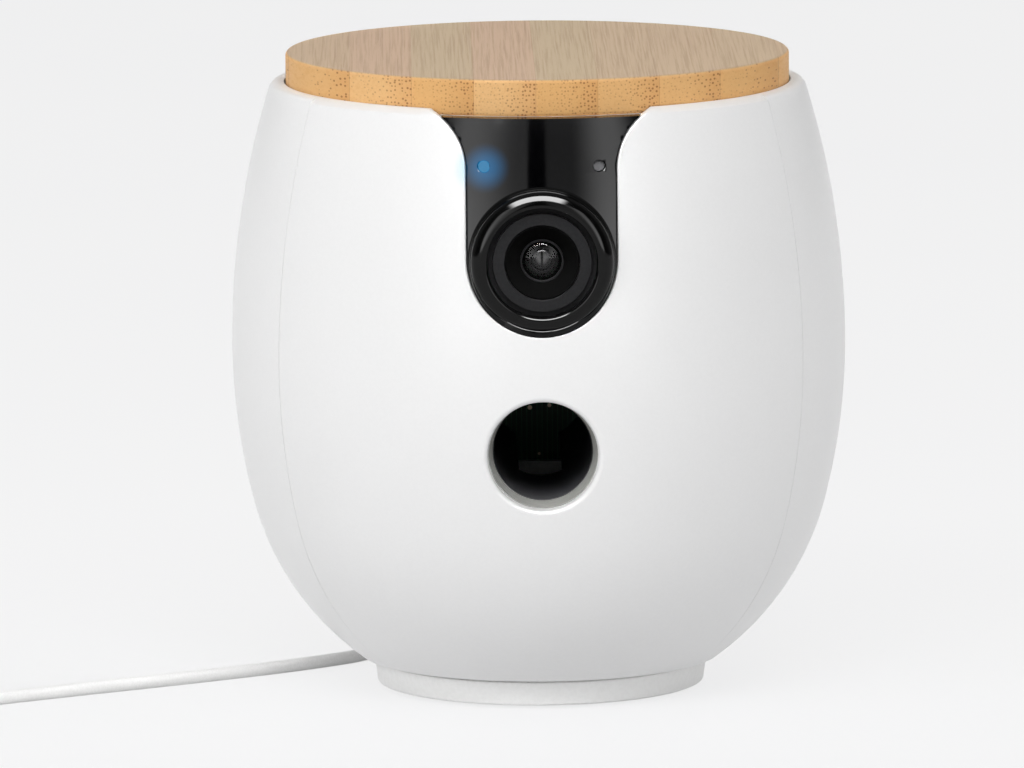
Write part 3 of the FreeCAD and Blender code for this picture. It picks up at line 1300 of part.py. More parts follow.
def button_rear():
    return outline_radius(BUTTON_HEIGHT) - BUTTON_RECESS - BUTTON_LENGTH


def button_board_y():
    return button_rear() - BUTTON_TRAVEL - 0.1 - 3.0 - BOARD_THICKNESS


def pairing_button():
    back = vector(0, 1, 0)
    start = button_rear()
    cap = Part.makeCylinder(BUTTON_RADIUS, BUTTON_LENGTH, vector(0, start, BUTTON_HEIGHT), back)
    face = vector(0, start + BUTTON_LENGTH, BUTTON_HEIGHT)
    rims = [edge for edge in cap.Edges if len(edge.Vertexes) == 1 and abs(edge.CenterOfMass.y - face.y) < 0.01]
    cap = cap.makeFillet(0.4, rims)
    flange = Part.makeCylinder(BUTTON_RADIUS + 1.0, BUTTON_FLANGE, vector(0, start, BUTTON_HEIGHT), back)
    return cap.fuse(flange)


def button_switch():
    y = button_board_y()
    half = BUTTON_BOARD_WIDTH / 2
    rise = BUTTON_BOARD_HEIGHT / 2
    board = block(-half, half, y, y + BOARD_THICKNESS, BUTTON_HEIGHT - rise, BUTTON_HEIGHT + rise)
    top = y + BOARD_THICKNESS
    case = block(-2.6, 2.6, top, top + 2.2, BUTTON_HEIGHT - 2.6, BUTTON_HEIGHT + 2.6)
    stem = Part.makeCylinder(1.5, 0.8, vector(0, top + 2.2, BUTTON_HEIGHT), vector(0, 1, 0))
    return fused([board, case, stem])


# Screws in the rotating body
def body_screws():
    screws = []
    for angle in TAB_ANGLES_FRONT + TAB_ANGLES_REAR:
        x, y = tab_screw_place(angle)
        length = TURNTABLE_THICKNESS - SCREW_HEAD_HEIGHT + TAB_THICKNESS
        screws.append(moved(screw(length), x, y, TURNTABLE_LOW + SCREW_HEAD_HEIGHT))
    for x, y in frame_screw_places():
        down = screw(FRAME_FOOT_THICKNESS + FRAME_SCREW_GRIP).mirror(ORIGIN, UP)
        screws.append(moved(down, x, y, TURNTABLE_TOP + FRAME_FOOT_THICKNESS))
    for x, height in camera_screw_places():
        ear_back = EAR_FRONT - EAR_THICKNESS
        screws.append(moved(forward(moved(screw(SCREW_LENGTH), 0, 0, ear_back), height), x, 0, 0))
    return screws


# Power cable
def cable_plug():
    overmould_low = BASE_RADIUS_HIGH + PORT_GAP
    tongue_width = SOCKET_WIDTH - 2 * SOCKET_WALL - PLUG_PLAY
    tongue_height = SOCKET_HEIGHT - 2 * SOCKET_WALL - PLUG_PLAY
    tongue = stadium(tongue_width, tongue_height, TONGUE_LENGTH + 0.5)
    body = stadium(OVERMOULD_WIDTH, OVERMOULD_HEIGHT, OVERMOULD_LENGTH)
    tongue = moved(tongue, 0, overmould_low - TONGUE_LENGTH, PORT_HEIGHT)
    body = moved(body, 0, overmould_low, PORT_HEIGHT)
    start = vector(0, overmould_low + OVERMOULD_LENGTH, PORT_HEIGHT)
    relief = Part.makeCone(RELIEF_RADIUS, CABLE_RADIUS, RELIEF_LENGTH, start, vector(0, 1, 0))
    return fused([tongue, body, relief])


def cable_start():
    return vector(0, BASE_RADIUS_HIGH + PORT_GAP + OVERMOULD_LENGTH + RELIEF_LENGTH, PORT_HEIGHT)


def route():
    points = [cable_start()]
    first_x, first_y = ROUTE_TURNS[0]
    points.append(vector(first_x, first_y, PORT_HEIGHT))
    points += [vector(x, y, CABLE_FLOOR) for x, y in ROUTE_TURNS[1:]]
    points.append(vector(COIL_START[0], COIL_START[1], CABLE_FLOOR))
    return points


def rounded_path(points):
    """Straight runs joined by tangent arcs, as edges, with the arcs' radii."""
    edges = []
    radii = []
    here = points[0]
    for before, corner, after in zip(points, points[1:], points[2:]):
        back = (before - corner).normalize()
        ahead = (after - corner).normalize()
        turn = math.pi - back.getAngle(ahead)
        tangent = RUN_SHARE * min(before.distanceToPoint(corner), corner.distanceToPoint(after))
        radius = tangent / math.tan(turn / 2)
        start = corner + back * tangent
        end = corner + ahead * tangent
        inward = (back + ahead).normalize()
        middle = corner + inward * (radius / math.cos(turn / 2) - radius)
        edges.append(Part.LineSegment(here, start).toShape())
        edges.append(Part.Arc(start, middle, end).toShape())
        radii.append(radius)
        here = end
    edges.append(Part.LineSegment(here, points[-1]).toShape())
    return edges, radii


def swept(edges, radius):
    wire = Part.Wire(edges)
    start = wire.Edges[0].valueAt(wire.Edges[0].FirstParameter)
    heading = wire.Edges[0].tangentAt(wire.Edges[0].FirstParameter)
    section = Part.Wire(Part.makeCircle(radius, start, heading))
    return wire.makePipeShell([section], True, False), wire


def power_cable():
    edges, radii = rounded_path(route())
    tube, wire = swept(edges, CABLE_RADIUS)
    expected = math.pi * CABLE_RADIUS ** 2 * wire.Length
    print("cable radii", [round(radius, 1) for radius in radii])
    print("cable run length", round(wire.Length, 1), "volume share", round(tube.Volume / expected, 4))
    return tube


class CoilFrame:
    """Places points of the coil, which is drawn with its start at (COIL_OUTER, 0) heading +Y."""

    def __init__(self):
        points = route()
        self.ahead = (points[-1] - points[-2]).normalize()
        self.outward = vector(-self.ahead.y, self.ahead.x)
        self.centre = points[-1] - self.outward * COIL_OUTER

    def place(self, x, y, height):
        flat = self.centre + self.outward * x + self.ahead * y
        return vector(flat.x, flat.y, height)


def half_turn(frame, side, centre, radius, low, high):
    """Edges of half a turn about (centre, 0), on the +Y side going to -X or on the other side back."""
    climb = high - low
    reach = math.sqrt(radius ** 2 + climb ** 2 / 4)
    start = frame.place(centre + side * radius, 0, low)
    joint = frame.place(centre, side * reach, (low + high) / 2)
    end = frame.place(centre - side * radius, 0, high)
    first_corner = frame.place(centre + side * radius, side * reach, low)
    second_corner = frame.place(centre - side * radius, side * reach, high)
    return [quarter_arc(start, first_corner, joint), quarter_arc(joint, second_corner, end)]


def quarter_arc(start, corner, end):
    """Quarter circle that is tangent to both lines through its corner."""
    centre = start + end - corner
    outward = (corner - centre).normalize()
    middle = centre + outward * centre.distanceToPoint(start)
    return Part.Arc(start, middle, end).toShape()


def coil_edges():
    """Straight lead in, four layers that wind in and out, a rise, and a straight lead to the plug."""
    frame = CoilFrame()
    half_pitch = COIL_PITCH / 2
    last = 2 * COIL_TURNS_PER_LAYER
    height = CABLE_FLOOR
    entry = frame.place(COIL_OUTER, 0, height)
    lead_end = frame.place(COIL_OUTER, 2 * CABLE_RADIUS, height)
    frame.centre = frame.centre + frame.ahead * (2 * CABLE_RADIUS)
    edges = [Part.LineSegment(entry, lead_end).toShape()]
    for step in range(last):
        side = 1 if step % 2 == 0 else -1
        centre = 0.0 if side > 0 else -half_pitch
        edges += half_turn(frame, side, centre, COIL_OUTER - step * half_pitch, height, height)
    for layer in range(1, 4):
        inward = layer % 2 == 0
        climb_step = 0 if inward else last
        edges += half_turn(frame, 1, 0.0, COIL_OUTER - climb_step * half_pitch, height, height + COIL_PITCH)
        height += COIL_PITCH
        steps = range(1, last) if inward else range(last - 1, 0, -1)
        for step in steps:
            side = 1 if step % 2 == 0 else -1
            lower_centre = -half_pitch if inward else half_pitch
            centre = 0.0 if side > 0 else lower_centre
            edges += half_turn(frame, side, centre, COIL_OUTER - step * half_pitch, height, height)
    edges += half_turn(frame, 1, 0.0, COIL_OUTER, height, height + COIL_RISE_TO_PLUG)
    height += COIL_RISE_TO_PLUG
    tail = COIL_TAIL_RADIUS
    start = frame.place(-COIL_OUTER, 0, height)
    corner = frame.place(-COIL_OUTER, -tail, height)
    end = frame.place(-COIL_OUTER + tail, -tail, height)
    edges.append(quarter_arc(start, corner, end))
    lead = frame.place(-COIL_OUTER + tail + 2 * CABLE_RADIUS, -tail, height)
    edges.append(Part.LineSegment(end, lead).toShape())
    return edges, lead, frame.outward


def least_gap(wire):
    """Least gap between turns of the tube, measured on points along it that lie well apart on the wire."""
    points = wire.discretize(Distance=2.0)
    spacing = wire.Length / (len(points) - 1)
    skip = int(6 * CABLE_RADIUS / spacing)
    closest = min(
        points[i].distanceToPoint(points[j])
        for i in range(len(points))
        for j in range(i + skip, len(points))
    )
    return closest - 2 * CABLE_RADIUS


def cable_coil():
    edges, lead, heading = coil_edges()
    tube, wire = swept(edges, CABLE_RADIUS)
    expected = math.pi * CABLE_RADIUS ** 2 * wire.Length
    print("coil length", round(wire.Length, 1), "volume share", round(tube.Volume / expected, 4))
    print("coil least gap", round(least_gap(wire), 2))
    return tube


def usb_plug():
    """Flat supply plug that lies across the top of the coil, drawn along +Y and then turned."""
    edges, lead, heading = coil_edges()
    relief = Part.makeCone(CABLE_RADIUS, RELIEF_RADIUS, RELIEF_LENGTH, ORIGIN, vector(0, 1, 0))
    half = SUPPLY_PLUG_WIDTH / 2
    rise = SUPPLY_PLUG_HEIGHT / 2
    near = RELIEF_LENGTH
    far = near + SUPPLY_PLUG_LENGTH
    body = rounded_block(-half, half, near, far, -rise, rise, 2.0, vector(0, 1, 0))
    tongue_half = SUPPLY_TONGUE_WIDTH / 2
    tongue_rise = SUPPLY_TONGUE_HEIGHT / 2
    tongue = block(-tongue_half, tongue_half, far, far + SUPPLY_TONGUE_LENGTH, -tongue_rise, tongue_rise)
    wall = 0.3
    inside = block(
        -tongue_half + wall, tongue_half - wall, far + 0.5, far + SUPPLY_TONGUE_LENGTH + 1, -0.1, tongue_rise - wall
    )
    plug = fused([relief, body, tongue]).cut(inside)
    turn = math.degrees(math.atan2(heading.y, heading.x)) - 90
    plug.rotate(ORIGIN, UP, turn)
    return moved(plug, lead.x, lead.y, lead.z)


def build():
    ring = shell_ring()
    pieces = {
        "base_ring": base_ring(),
        "base_plate": base_plate(),
        "foot_ring": foot_ring(),
        "base_screws": base_screws(),
        "sun_gear": sun_gear(),
        "lower_race": race(PLATE_TOP, PLATE_TOP + RACE_THICKNESS),
        "upper_race": race(TURNTABLE_LOW - UPPER_RACE_THICKNESS, TURNTABLE_LOW),
        "bearing_cage": bearing_cage(),
        "bearing_balls": bearing_balls(),
        "pivot_clip": pivot_clip(),
        "usb_socket": usb_socket(),
        "base_board": base_board(),
        "turntable": turntable(),
        "swivel_motor": swivel_motor(),
        "swivel_pinion": swivel_pinion(),
        "front_shell": front_shell(ring),
        "rear_shell": rear_shell(ring),
        "camera_panel": camera_panel(),
        "lens_bezel": lens_bezel(),
        "lens_ring": lens_ring(),
        "front_lens": front_lens(),
        "inner_lens": inner_lens(),
        "lens_barrel": lens_barrel(),
        "camera_board": camera_board(),
        "camera_housing": camera_housing(),
        "infrared_board": infrared_board(),
        "infrared_leds": infrared_leds(),
        "sensor_board": sensor_board(),
        "status_light": status_light(),
        "microphone_mesh": microphone_mesh(),
        "launcher_frame": launcher_frame(),
        "launch_bushes": launch_bushes(),
        "launch_barrel": launch_barrel(),
        "drop_chute": drop_chute(),
        "treat_spout": treat_spout(),
        "launch_shaft": launch_shaft(),
        "launch_finger": launch_finger(),
        "finger_pad": finger_pad(),
        "launch_gear": launch_gear(),
        "launch_pinion": launch_pinion(),
        "motor_bracket": motor_bracket(),
        "launch_motor": launch_motor(),
        "wheel_housing": wheel_housing(),
        "treat_wheel": treat_wheel(),
        "wheel_motor": wheel_motor(),
        "wheel_pinion": wheel_pinion(),
        "hopper_bowl": hopper_bowl(),
        "lid_board": lid_board(),
        "lid_plug": lid_plug(),
        "lid_seal": lid_seal(),
        "lid_screws": lid_screws(),
        "main_board": main_board(),
        "speaker": speaker(),
        "pairing_button": pairing_button(),
        "button_switch": button_switch(),
        "body_screws": body_screws(),
        "cable_plug": cable_plug(),
        "power_cable": power_cable(),
        "cable_coil": cable_coil(),
        "usb_plug": usb_plug(),
    }
    return pieces


os.makedirs("parts", exist_ok=True)
for name, shape in build().items():
    if isinstance(shape, list):
        shape = Part.makeCompound(shape)
    shape.exportStep(os.path.join("parts", name + ".step"))
    print(name, len(shape.Solids), "solids, valid", shape.isValid(), "volume", round(shape.Volume, 1))
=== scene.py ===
import math

import bmesh
import bpy
from mathutils import Matrix, Vector


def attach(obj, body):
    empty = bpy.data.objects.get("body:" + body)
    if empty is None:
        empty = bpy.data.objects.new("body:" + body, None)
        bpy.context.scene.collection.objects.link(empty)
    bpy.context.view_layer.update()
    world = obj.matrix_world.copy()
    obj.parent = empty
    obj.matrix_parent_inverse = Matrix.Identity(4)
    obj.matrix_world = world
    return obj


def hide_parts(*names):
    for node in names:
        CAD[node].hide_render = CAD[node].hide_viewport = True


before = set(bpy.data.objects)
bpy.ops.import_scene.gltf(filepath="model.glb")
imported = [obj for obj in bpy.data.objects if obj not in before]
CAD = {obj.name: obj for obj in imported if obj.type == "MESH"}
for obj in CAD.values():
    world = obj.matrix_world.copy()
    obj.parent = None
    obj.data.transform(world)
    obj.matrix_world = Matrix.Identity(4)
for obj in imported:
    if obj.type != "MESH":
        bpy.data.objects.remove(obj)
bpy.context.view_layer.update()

MM = 0.001

# The lead: where it turns on the table, and its coil
LEAD_RADIUS = 1.5
LEAD_FLOOR = 1.55
LEAD_EXIT = (0.0, 66.4, 3.83)
LEAD_TURNS = (
    (0.0, 80.0, 3.83),
    (-8.0, 100.0, LEAD_FLOOR),
    (-27.0, 106.0, LEAD_FLOOR),
    (-43.0, 94.0, LEAD_FLOOR),
    (-43.0, 72.0, LEAD_FLOOR),
    (-33.0, 33.5, LEAD_FLOOR),
    (-53.5, 14.6, LEAD_FLOOR),
    (-86.0, -5.3, LEAD_FLOOR),
    (-119.0, -24.2, LEAD_FLOOR),
    (-145.2, -41.9, LEAD_FLOOR),
)
COIL_RADIUS = 24.5
COIL_PITCH = 3.5
COIL_LAYERS = 4
TURNS_PER_LAYER = 4
COIL_LAST_RISE = 5.6
COIL_TAIL = 12.25

# The supply plug, measured along it from the end of the lead
RELIEF_END = 8.4
RELIEF_RADIUS = 2.1
RELIEF_SLOPE = 0.075
RIB_COUNT = 5
RIB_START = 1.0
RIB_PITCH = 1.4
RIB_RISE = 0.2
GRIP_START, GRIP_END = 8.0, 26.0
GRIP_HALF_WIDTH, GRIP_HALF_HEIGHT = 7.5, 3.8
PLUG_END = 38.0
PLUG_HALF_WIDTH, PLUG_HALF_HEIGHT = 6.0, 2.25
PLUG_SHEET = 0.3
WINDOW_INSIDE, WINDOW_OUTSIDE = 1.7, 3.9
WINDOW_START, WINDOW_END = 31.0, 33.2
TONGUE_HALF_WIDTH, TONGUE_LOW, TONGUE_HIGH, TONGUE_END = 5.6, -1.9, -0.1, 37.3
CONTACT_PLACES = (-3.5, -1.0, 1.0, 3.5)
CONTACT_HALF, CONTACT_START, CONTACT_END = 0.5, 29.0, 36.6


# ---- modelling
def deselect():
    if bpy.context.object and bpy.context.object.mode != "OBJECT":
        bpy.ops.object.mode_set(mode="OBJECT")
    bpy.ops.object.select_all(action="DESELECT")


def name_piece(name):
    piece = bpy.context.active_object
    piece.name = name
    piece.data.name = name
    return piece


def make_active(piece):
    deselect()
    piece.select_set(True)
    bpy.context.view_layer.objects.active = piece


def join_pieces(pieces):
    """Joins the pieces into the first of them."""
    deselect()
    for piece in pieces:
        piece.select_set(True)
    bpy.context.view_layer.objects.active = pieces[0]
    if len(pieces) > 1:
        bpy.ops.object.join()


def edit_all():
    bpy.ops.object.mode_set(mode="EDIT")
    bpy.ops.mesh.select_all(action="SELECT")


def settle(piece):
    """Puts the piece's place into its mesh."""
    make_active(piece)
    bpy.ops.object.transform_apply(location=True, rotation=True, scale=True)


# ---- the camera
def set_camera():
    """A long lens a little above the table and a touch to the left, as in the photograph."""
    pixels_per_mm = 4.357
    distance = 2600.0
    elevation = math.radians(8.5)
    azimuth = math.radians(-0.6)
    roll = math.radians(0.35)
    photo_width, photo_height = 1024, 768
    foot_across, foot_down = 540.7, 679.8
    sensor_width = 36
    back = Vector((
        math.sin(azimuth) * math.cos(elevation),
        -math.cos(azimuth) * math.cos(elevation),
        math.sin(elevation),
    ))
    level_right = Vector((0, 0, 1)).cross(back).normalized()
    level_up = back.cross(level_right)
    right = level_right * math.cos(roll) - level_up * math.sin(roll)
    up = level_up * math.cos(roll) + level_right * math.sin(roll)
    target = right * ((photo_width / 2 - foot_across) / pixels_per_mm)
    target += up * ((foot_down - photo_height / 2) / pixels_per_mm)
    place = (target + back * distance) * MM
    camera_data = bpy.data.cameras.new("photo_camera")
    camera_data.sensor_width = sensor_width
    camera_data.lens = pixels_per_mm * distance * sensor_width / photo_width
    camera_data.clip_start = 0.1
    camera_data.clip_end = 50
    camera = bpy.data.objects.new("photo_camera", camera_data)
    axes = Matrix((right, up, back)).transposed().to_4x4()
    camera.matrix_world = Matrix.Translation(place) @ axes
    bpy.context.collection.objects.link(camera)
    bpy.context.scene.camera = camera


# ---- the lead
def coil_axes():
    """The coil's middle, the way out to the incoming lead and the way that the lead comes in."""
    end = Vector(LEAD_TURNS[-1])
    ahead = (end - Vector(LEAD_TURNS[-2])).normalized()
    outward = Vector((-ahead.y, ahead.x, 0))
    return end - outward * COIL_RADIUS + ahead * (2 * LEAD_RADIUS), outward, ahead


def coil_points():
    """The put-away length: four flat layers that wind in and out on each other."""
    centre, outward, ahead = coil_axes()
    per_half = 8
    swell = math.cos(math.pi / per_half / 2)
    points = []

    def half_turn(side, middle, radius, low, high):
        for step in range(per_half):
            share = (step + 0.5) / per_half
            angle = math.pi * share
            x = middle + side * radius / swell * math.cos(angle)
            y = side * radius / swell * math.sin(angle)
            spot = centre + outward * x + ahead * y
            points.append((spot.x, spot.y, low + (high - low) * share))

    half_pitch = COIL_PITCH / 2
    last = 2 * TURNS_PER_LAYER
    height = LEAD_FLOOR
    for step in range(last):
        side = 1 if step % 2 == 0 else -1
        half_turn(side, 0.0 if side > 0 else -half_pitch, COIL_RADIUS - step * half_pitch, height, height)
    for layer in range(1, COIL_LAYERS):
        inward = layer % 2 == 0
        climb = 0 if inward else last
        half_turn(1, 0.0, COIL_RADIUS - climb * half_pitch, height, height + COIL_PITCH)
        height += COIL_PITCH
        for step in range(1, last) if inward else range(last - 1, 0, -1):
            side = 1 if step % 2 == 0 else -1
            lower = -half_pitch if inward else half_pitch
            half_turn(side, 0.0 if side > 0 else lower, COIL_RADIUS - step * half_pitch, height, height)
    half_turn(1, 0.0, COIL_RADIUS, height, height + COIL_LAST_RISE)
    height += COIL_LAST_RISE
    for x, y in (
        (-COIL_RADIUS, -COIL_TAIL * 0.25),
        (-COIL_RADIUS, -COIL_TAIL * 0.82),
        (-COIL_RADIUS + COIL_TAIL * 0.25, -COIL_TAIL),
        (-COIL_RADIUS + COIL_TAIL * 0.75, -COIL_TAIL),
        (-COIL_RADIUS + COIL_TAIL + 2 * LEAD_RADIUS, -COIL_TAIL),
    ):
        spot = centre + outward * x + ahead * y
        points.append((spot.x, spot.y, height))
    return points


def make_supply_plug():
    """The plug on the coil: ribbed relief, moulded grip, steel shell, tongue and contacts."""
    centre, outward, ahead = coil_axes()
    spot = centre + outward * (COIL_TAIL + 2 * LEAD_RADIUS - COIL_RADIUS) - ahead * COIL_TAIL
    spot.z = LEAD_FLOOR + (COIL_LAYERS - 1) * COIL_PITCH + COIL_LAST_RISE
    ribs = [(0.0, 0.0), (LEAD_RADIUS, 0.0)]
    for rib in range(RIB_COUNT):
        low = RIB_START + RIB_PITCH * rib
        radius = LEAD_RADIUS + RELIEF_SLOPE * low
        crest = radius + RIB_RISE
        ribs += [(radius, low), (crest, low + 0.15), (crest, low + 0.75), (radius, low + 0.9)]
    ribs += [(RELIEF_RADIUS, RELIEF_END), (0.0, RELIEF_END)]
    relief = turned_piece("supply_plug", ribs, (0, 1, 0), Vector((0, 0, 0)), 48)
    relief.data.transform(Matrix.Scale(1 / MM, 4))

    def block(low, high):
        deselect()
        bpy.ops.mesh.primitive_cube_add(size=1, location=[(a + b) / 2 for a, b in zip(low, high)])
        piece = bpy.context.active_object
        piece.scale = [b - a for a, b in zip(low, high)]
        settle(piece)
        return piece

    def pick_faces(piece, wanted):
        bpy.ops.object.mode_set(mode="EDIT")
        bpy.ops.mesh.select_mode(type="FACE")
        bpy.ops.mesh.select_all(action="DESELECT")
        shape = bmesh.from_edit_mesh(piece.data)
        for face in shape.faces:
            if wanted(face.calc_center_median(), face.normal):
                face.select_set(True)
        bmesh.update_edit_mesh(piece.data)

    grip = block(
        (-GRIP_HALF_WIDTH, GRIP_START, -GRIP_HALF_HEIGHT), (GRIP_HALF_WIDTH, GRIP_END, GRIP_HALF_HEIGHT),
    )
    round_edges(grip, 2.0, 6, lambda end: True, along=1)
    round_edges(grip, 0.5, 3, lambda end: True)
    pick_faces(grip, lambda middle, normal: abs(normal.z) > 0.999)
    bpy.ops.mesh.inset(thickness=1.8, depth=0)
    bpy.ops.mesh.inset(thickness=0.2, depth=-0.3)
    bpy.ops.object.mode_set(mode="OBJECT")

    shell = block(
        (-PLUG_HALF_WIDTH, GRIP_END - 0.5, -PLUG_HALF_HEIGHT), (PLUG_HALF_WIDTH, PLUG_END, PLUG_HALF_HEIGHT),
    )
    round_edges(shell, 0.5, 4, lambda end: True, along=1)
    cut_grid(
        shell, (-WINDOW_OUTSIDE, -WINDOW_INSIDE, WINDOW_INSIDE, WINDOW_OUTSIDE), (WINDOW_START, WINDOW_END),
    )

    def open_face(middle, normal):
        """The shell's open end and its four windows."""
        window = WINDOW_START < middle.y < WINDOW_END and WINDOW_INSIDE < abs(middle.x) < WINDOW_OUTSIDE
        return middle.y > PLUG_END - 0.1 or (window and abs(normal.z) > 0.999)

    pick_faces(shell, open_face)
    bpy.ops.mesh.delete(type="FACE")
    bpy.ops.object.mode_set(mode="OBJECT")
    bpy.ops.object.modifier_add(type="SOLIDIFY")
    shell.modifiers[-1].thickness = PLUG_SHEET
    bpy.ops.object.modifier_apply(modifier=shell.modifiers[-1].name)

    tongue = block((-TONGUE_HALF_WIDTH, GRIP_END, TONGUE_LOW), (TONGUE_HALF_WIDTH, TONGUE_END, TONGUE_HIGH))
    round_edges(tongue, 0.2, 2, lambda end: end.y > TONGUE_END - 0.3)
    low, high = TONGUE_HIGH - 0.02, TONGUE_HIGH + 0.12
    contacts = []
    for x in CONTACT_PLACES:
        contact = block((x - CONTACT_HALF, CONTACT_START, low), (x + CONTACT_HALF, CONTACT_END, high))
        round_edges(contact, 0.05, 2, lambda end: end.z > 0)
        contacts.append(contact)

    turn = math.atan2(outward.y, outward.x) - math.pi / 2
    place = Matrix.Scale(MM, 4) @ Matrix.Translation(spot) @ Matrix.Rotation(turn, 4, "Z")
    pieces = []
    for name, parts, slot in (
        ("supply_plug", [relief, grip, tongue], "plug_white"),
        ("supply_plug_shell", [shell], "socket_metal"),
        ("supply_plug_contacts", contacts, "socket_metal"),
    ):
        join_pieces(parts)
        piece = name_piece(name)
        piece.data.transform(place)
        finish_shape(piece, 35)
        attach(piece, "base")
        pieces.append(piece)
    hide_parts("usb_plug")
    return pieces


def make_lead():
    points = [LEAD_EXIT] + list(LEAD_TURNS) + coil_points()
    line = bpy.data.curves.new("lead", "CURVE")
    line.dimensions = "3D"
    spline = line.splines.new("NURBS")
    spline.points.add(len(points) - 1)
    for point, (x, y, z) in zip(spline.points, points):
        point.co = (x * MM, y * MM, z * MM, 1)
        point.radius = LEAD_RADIUS * MM
    spline.order_u = 3
    spline.use_endpoint_u = True
    spline.resolution_u = 6
    line.bevel_depth = 1.0
    line.bevel_resolution = 4
    line.use_fill_caps = True
    lead = bpy.data.objects.new("lead", line)
    bpy.context.collection.objects.link(lead)
    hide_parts("power_cable", "cable_coil")
    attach(lead, "base")
    return lead


# ---- body outline
BODY_RADIUS = 70.0
WIDEST_HEIGHT = 79.0
RIM_HEIGHT = 138.9
FOOT_RADIUS = 41.0
SHELL_FOOT = 6.8
SHELL_WALL = 2.4
UPPER_ARC = 197.554
LOWER_ARC = 145.0
FOOT_ARC_TURN = math.radians(14.5)
FOOT_ARC_X = FOOT_RADIUS - (BODY_RADIUS - LOWER_ARC + LOWER_ARC * math.cos(FOOT_ARC_TURN))
FOOT_ARC_Z = SHELL_FOOT - (WIDEST_HEIGHT - LOWER_ARC * math.sin(FOOT_ARC_TURN))
FOOT_ARC = -(FOOT_ARC_X ** 2 + FOOT_ARC_Z ** 2) / 2 / (
    FOOT_ARC_X * math.cos(FOOT_ARC_TURN) - FOOT_ARC_Z * math.sin(FOOT_ARC_TURN)
)
SEAM_ANGLE = math.radians(57.5)
SEAM_GAP = 0.1
PANEL_HALF = 16.85
PANEL_CENTRE = 106.5
FLARE_START = 126.2
FLARE_RADIUS = 14.15
PANEL_GAP = 0.15
PANEL_LIP = 3.72
LENS_HEIGHT = 106.0
HOLE_HEIGHT = 62.4
HOLE_RADIUS = 12.4
SIGHT_OFFSET = 12.8
SIGHT_HEIGHT = 127.0
SIGHT_RADIUS = 1.25
BEZEL_FRONT = 69.946
BEZEL_BACK = 62.746
BEZEL_NECK = 15.0
LID_SEAT = 137.4
LID_THICKNESS = 8.3
LID_RADIUS = 57.3
SPEAKER_HEIGHT = 60.0
GRILLE_PITCH = 3.4
GRILLE_HOLE = 0.9
BUTTON_HEIGHT = 88.0
BUTTON_HOLE = 3.3
FILL = 0.5
FILL_BEHIND = 0.9
OVERHEAD_STRENGTH = 50.0
EVEN_SHARE = 0.78


def body_radius(height):
    """Radius of the body's outside at a height."""
    rise = height - WIDEST_HEIGHT
    if rise >= 0:
        return BODY_RADIUS - UPPER_ARC + math.sqrt(UPPER_ARC ** 2 - rise ** 2)
    if -rise <= LOWER_ARC * math.sin(FOOT_ARC_TURN):
        return BODY_RADIUS - LOWER_ARC + math.sqrt(LOWER_ARC ** 2 - rise ** 2)
    middle = BODY_RADIUS - LOWER_ARC + (LOWER_ARC - FOOT_ARC) * math.cos(FOOT_ARC_TURN)
    level = WIDEST_HEIGHT - (LOWER_ARC - FOOT_ARC) * math.sin(FOOT_ARC_TURN)
    return middle + math.sqrt(FOOT_ARC ** 2 - (height - level) ** 2)


def flat_place(x, height):
    """Where a point that is seen from the front lies on the body's wall rolled out flat."""
    return (BODY_RADIUS * math.asin(x / body_radius(height)), height)


def ring_points(x, height, radius, count):
    turn = 2 * math.pi / count
    return [
        flat_place(x + radius * math.cos(step * turn), height + radius * math.sin(step * turn))
        for step in range(count)
    ]


def notch_points(gap, top):
    """The camera panel's outline from its top right down and round to its top left."""
    flare = FLARE_RADIUS + gap
    middle = PANEL_HALF + FLARE_RADIUS
    half = PANEL_HALF - gap
    end = math.asin((top - FLARE_START) / flare)
    turns = [end * (1 - step / 16) for step in range(17)]
    right = [(middle - flare * math.cos(turn), FLARE_START + flare * math.sin(turn)) for turn in turns]
    sides = [(half, FLARE_START - step * (FLARE_START - PANEL_CENTRE) / 8) for step in range(1, 8)]
    bottom = [
        (half * math.cos(math.pi * step / 56), PANEL_CENTRE - half * math.sin(math.pi * step / 56))
        for step in range(57)
    ]
    half_outline = right + sides
    left = [(-x, z) for x, z in reversed(half_outline)]
    return [flat_place(x, z) for x, z in half_outline + bottom + left]


def flat_wall(name, outline, holes, thickness):
    """A wall rolled out flat: a filled outline with its holes, in millimetres, depth along Z."""
    curve = bpy.data.curves.new(name, "CURVE")
    curve.dimensions = "2D"
    curve.fill_mode = "BOTH"
    curve.extrude = thickness / 2
    for points in [outline] + holes:
        spline = curve.splines.new("POLY")
        spline.points.add(len(points) - 1)
        for point, (u, z) in zip(spline.points, points):
            point.co = (u, z, 0, 1)
        spline.use_cyclic_u = True
    wall = bpy.data.objects.new(name, curve)
    bpy.context.collection.objects.link(wall)
    make_active(wall)
    bpy.ops.object.convert(target="MESH")
    wall = name_piece(name)
    edit_all()
    bpy.ops.mesh.remove_doubles(threshold=0.001)
    bpy.ops.mesh.dissolve_limited(angle_limit=0.001, use_dissolve_boundaries=False)
    bpy.ops.mesh.normals_make_consistent(inside=False)
    bpy.ops.transform.translate(value=(0, 0, -thickness / 2))
    bpy.ops.object.mode_set(mode="OBJECT")
    return wall


def cut_grid(piece, across, up):
    """Cuts a flat wall along lines so that it can follow the body's curve."""
    bpy.ops.object.mode_set(mode="EDIT")
    for places, direction in ((across, (1, 0, 0)), (up, (0, 1, 0))):
        for place in places:
            bpy.ops.mesh.select_all(action="SELECT")
            spot = tuple(place * part for part in direction)
            bpy.ops.mesh.bisect(plane_co=spot, plane_no=direction)
    bpy.ops.mesh.select_all(action="SELECT")
    bpy.ops.mesh.remove_doubles(threshold=0.01)
    bpy.ops.object.mode_set(mode="OBJECT")


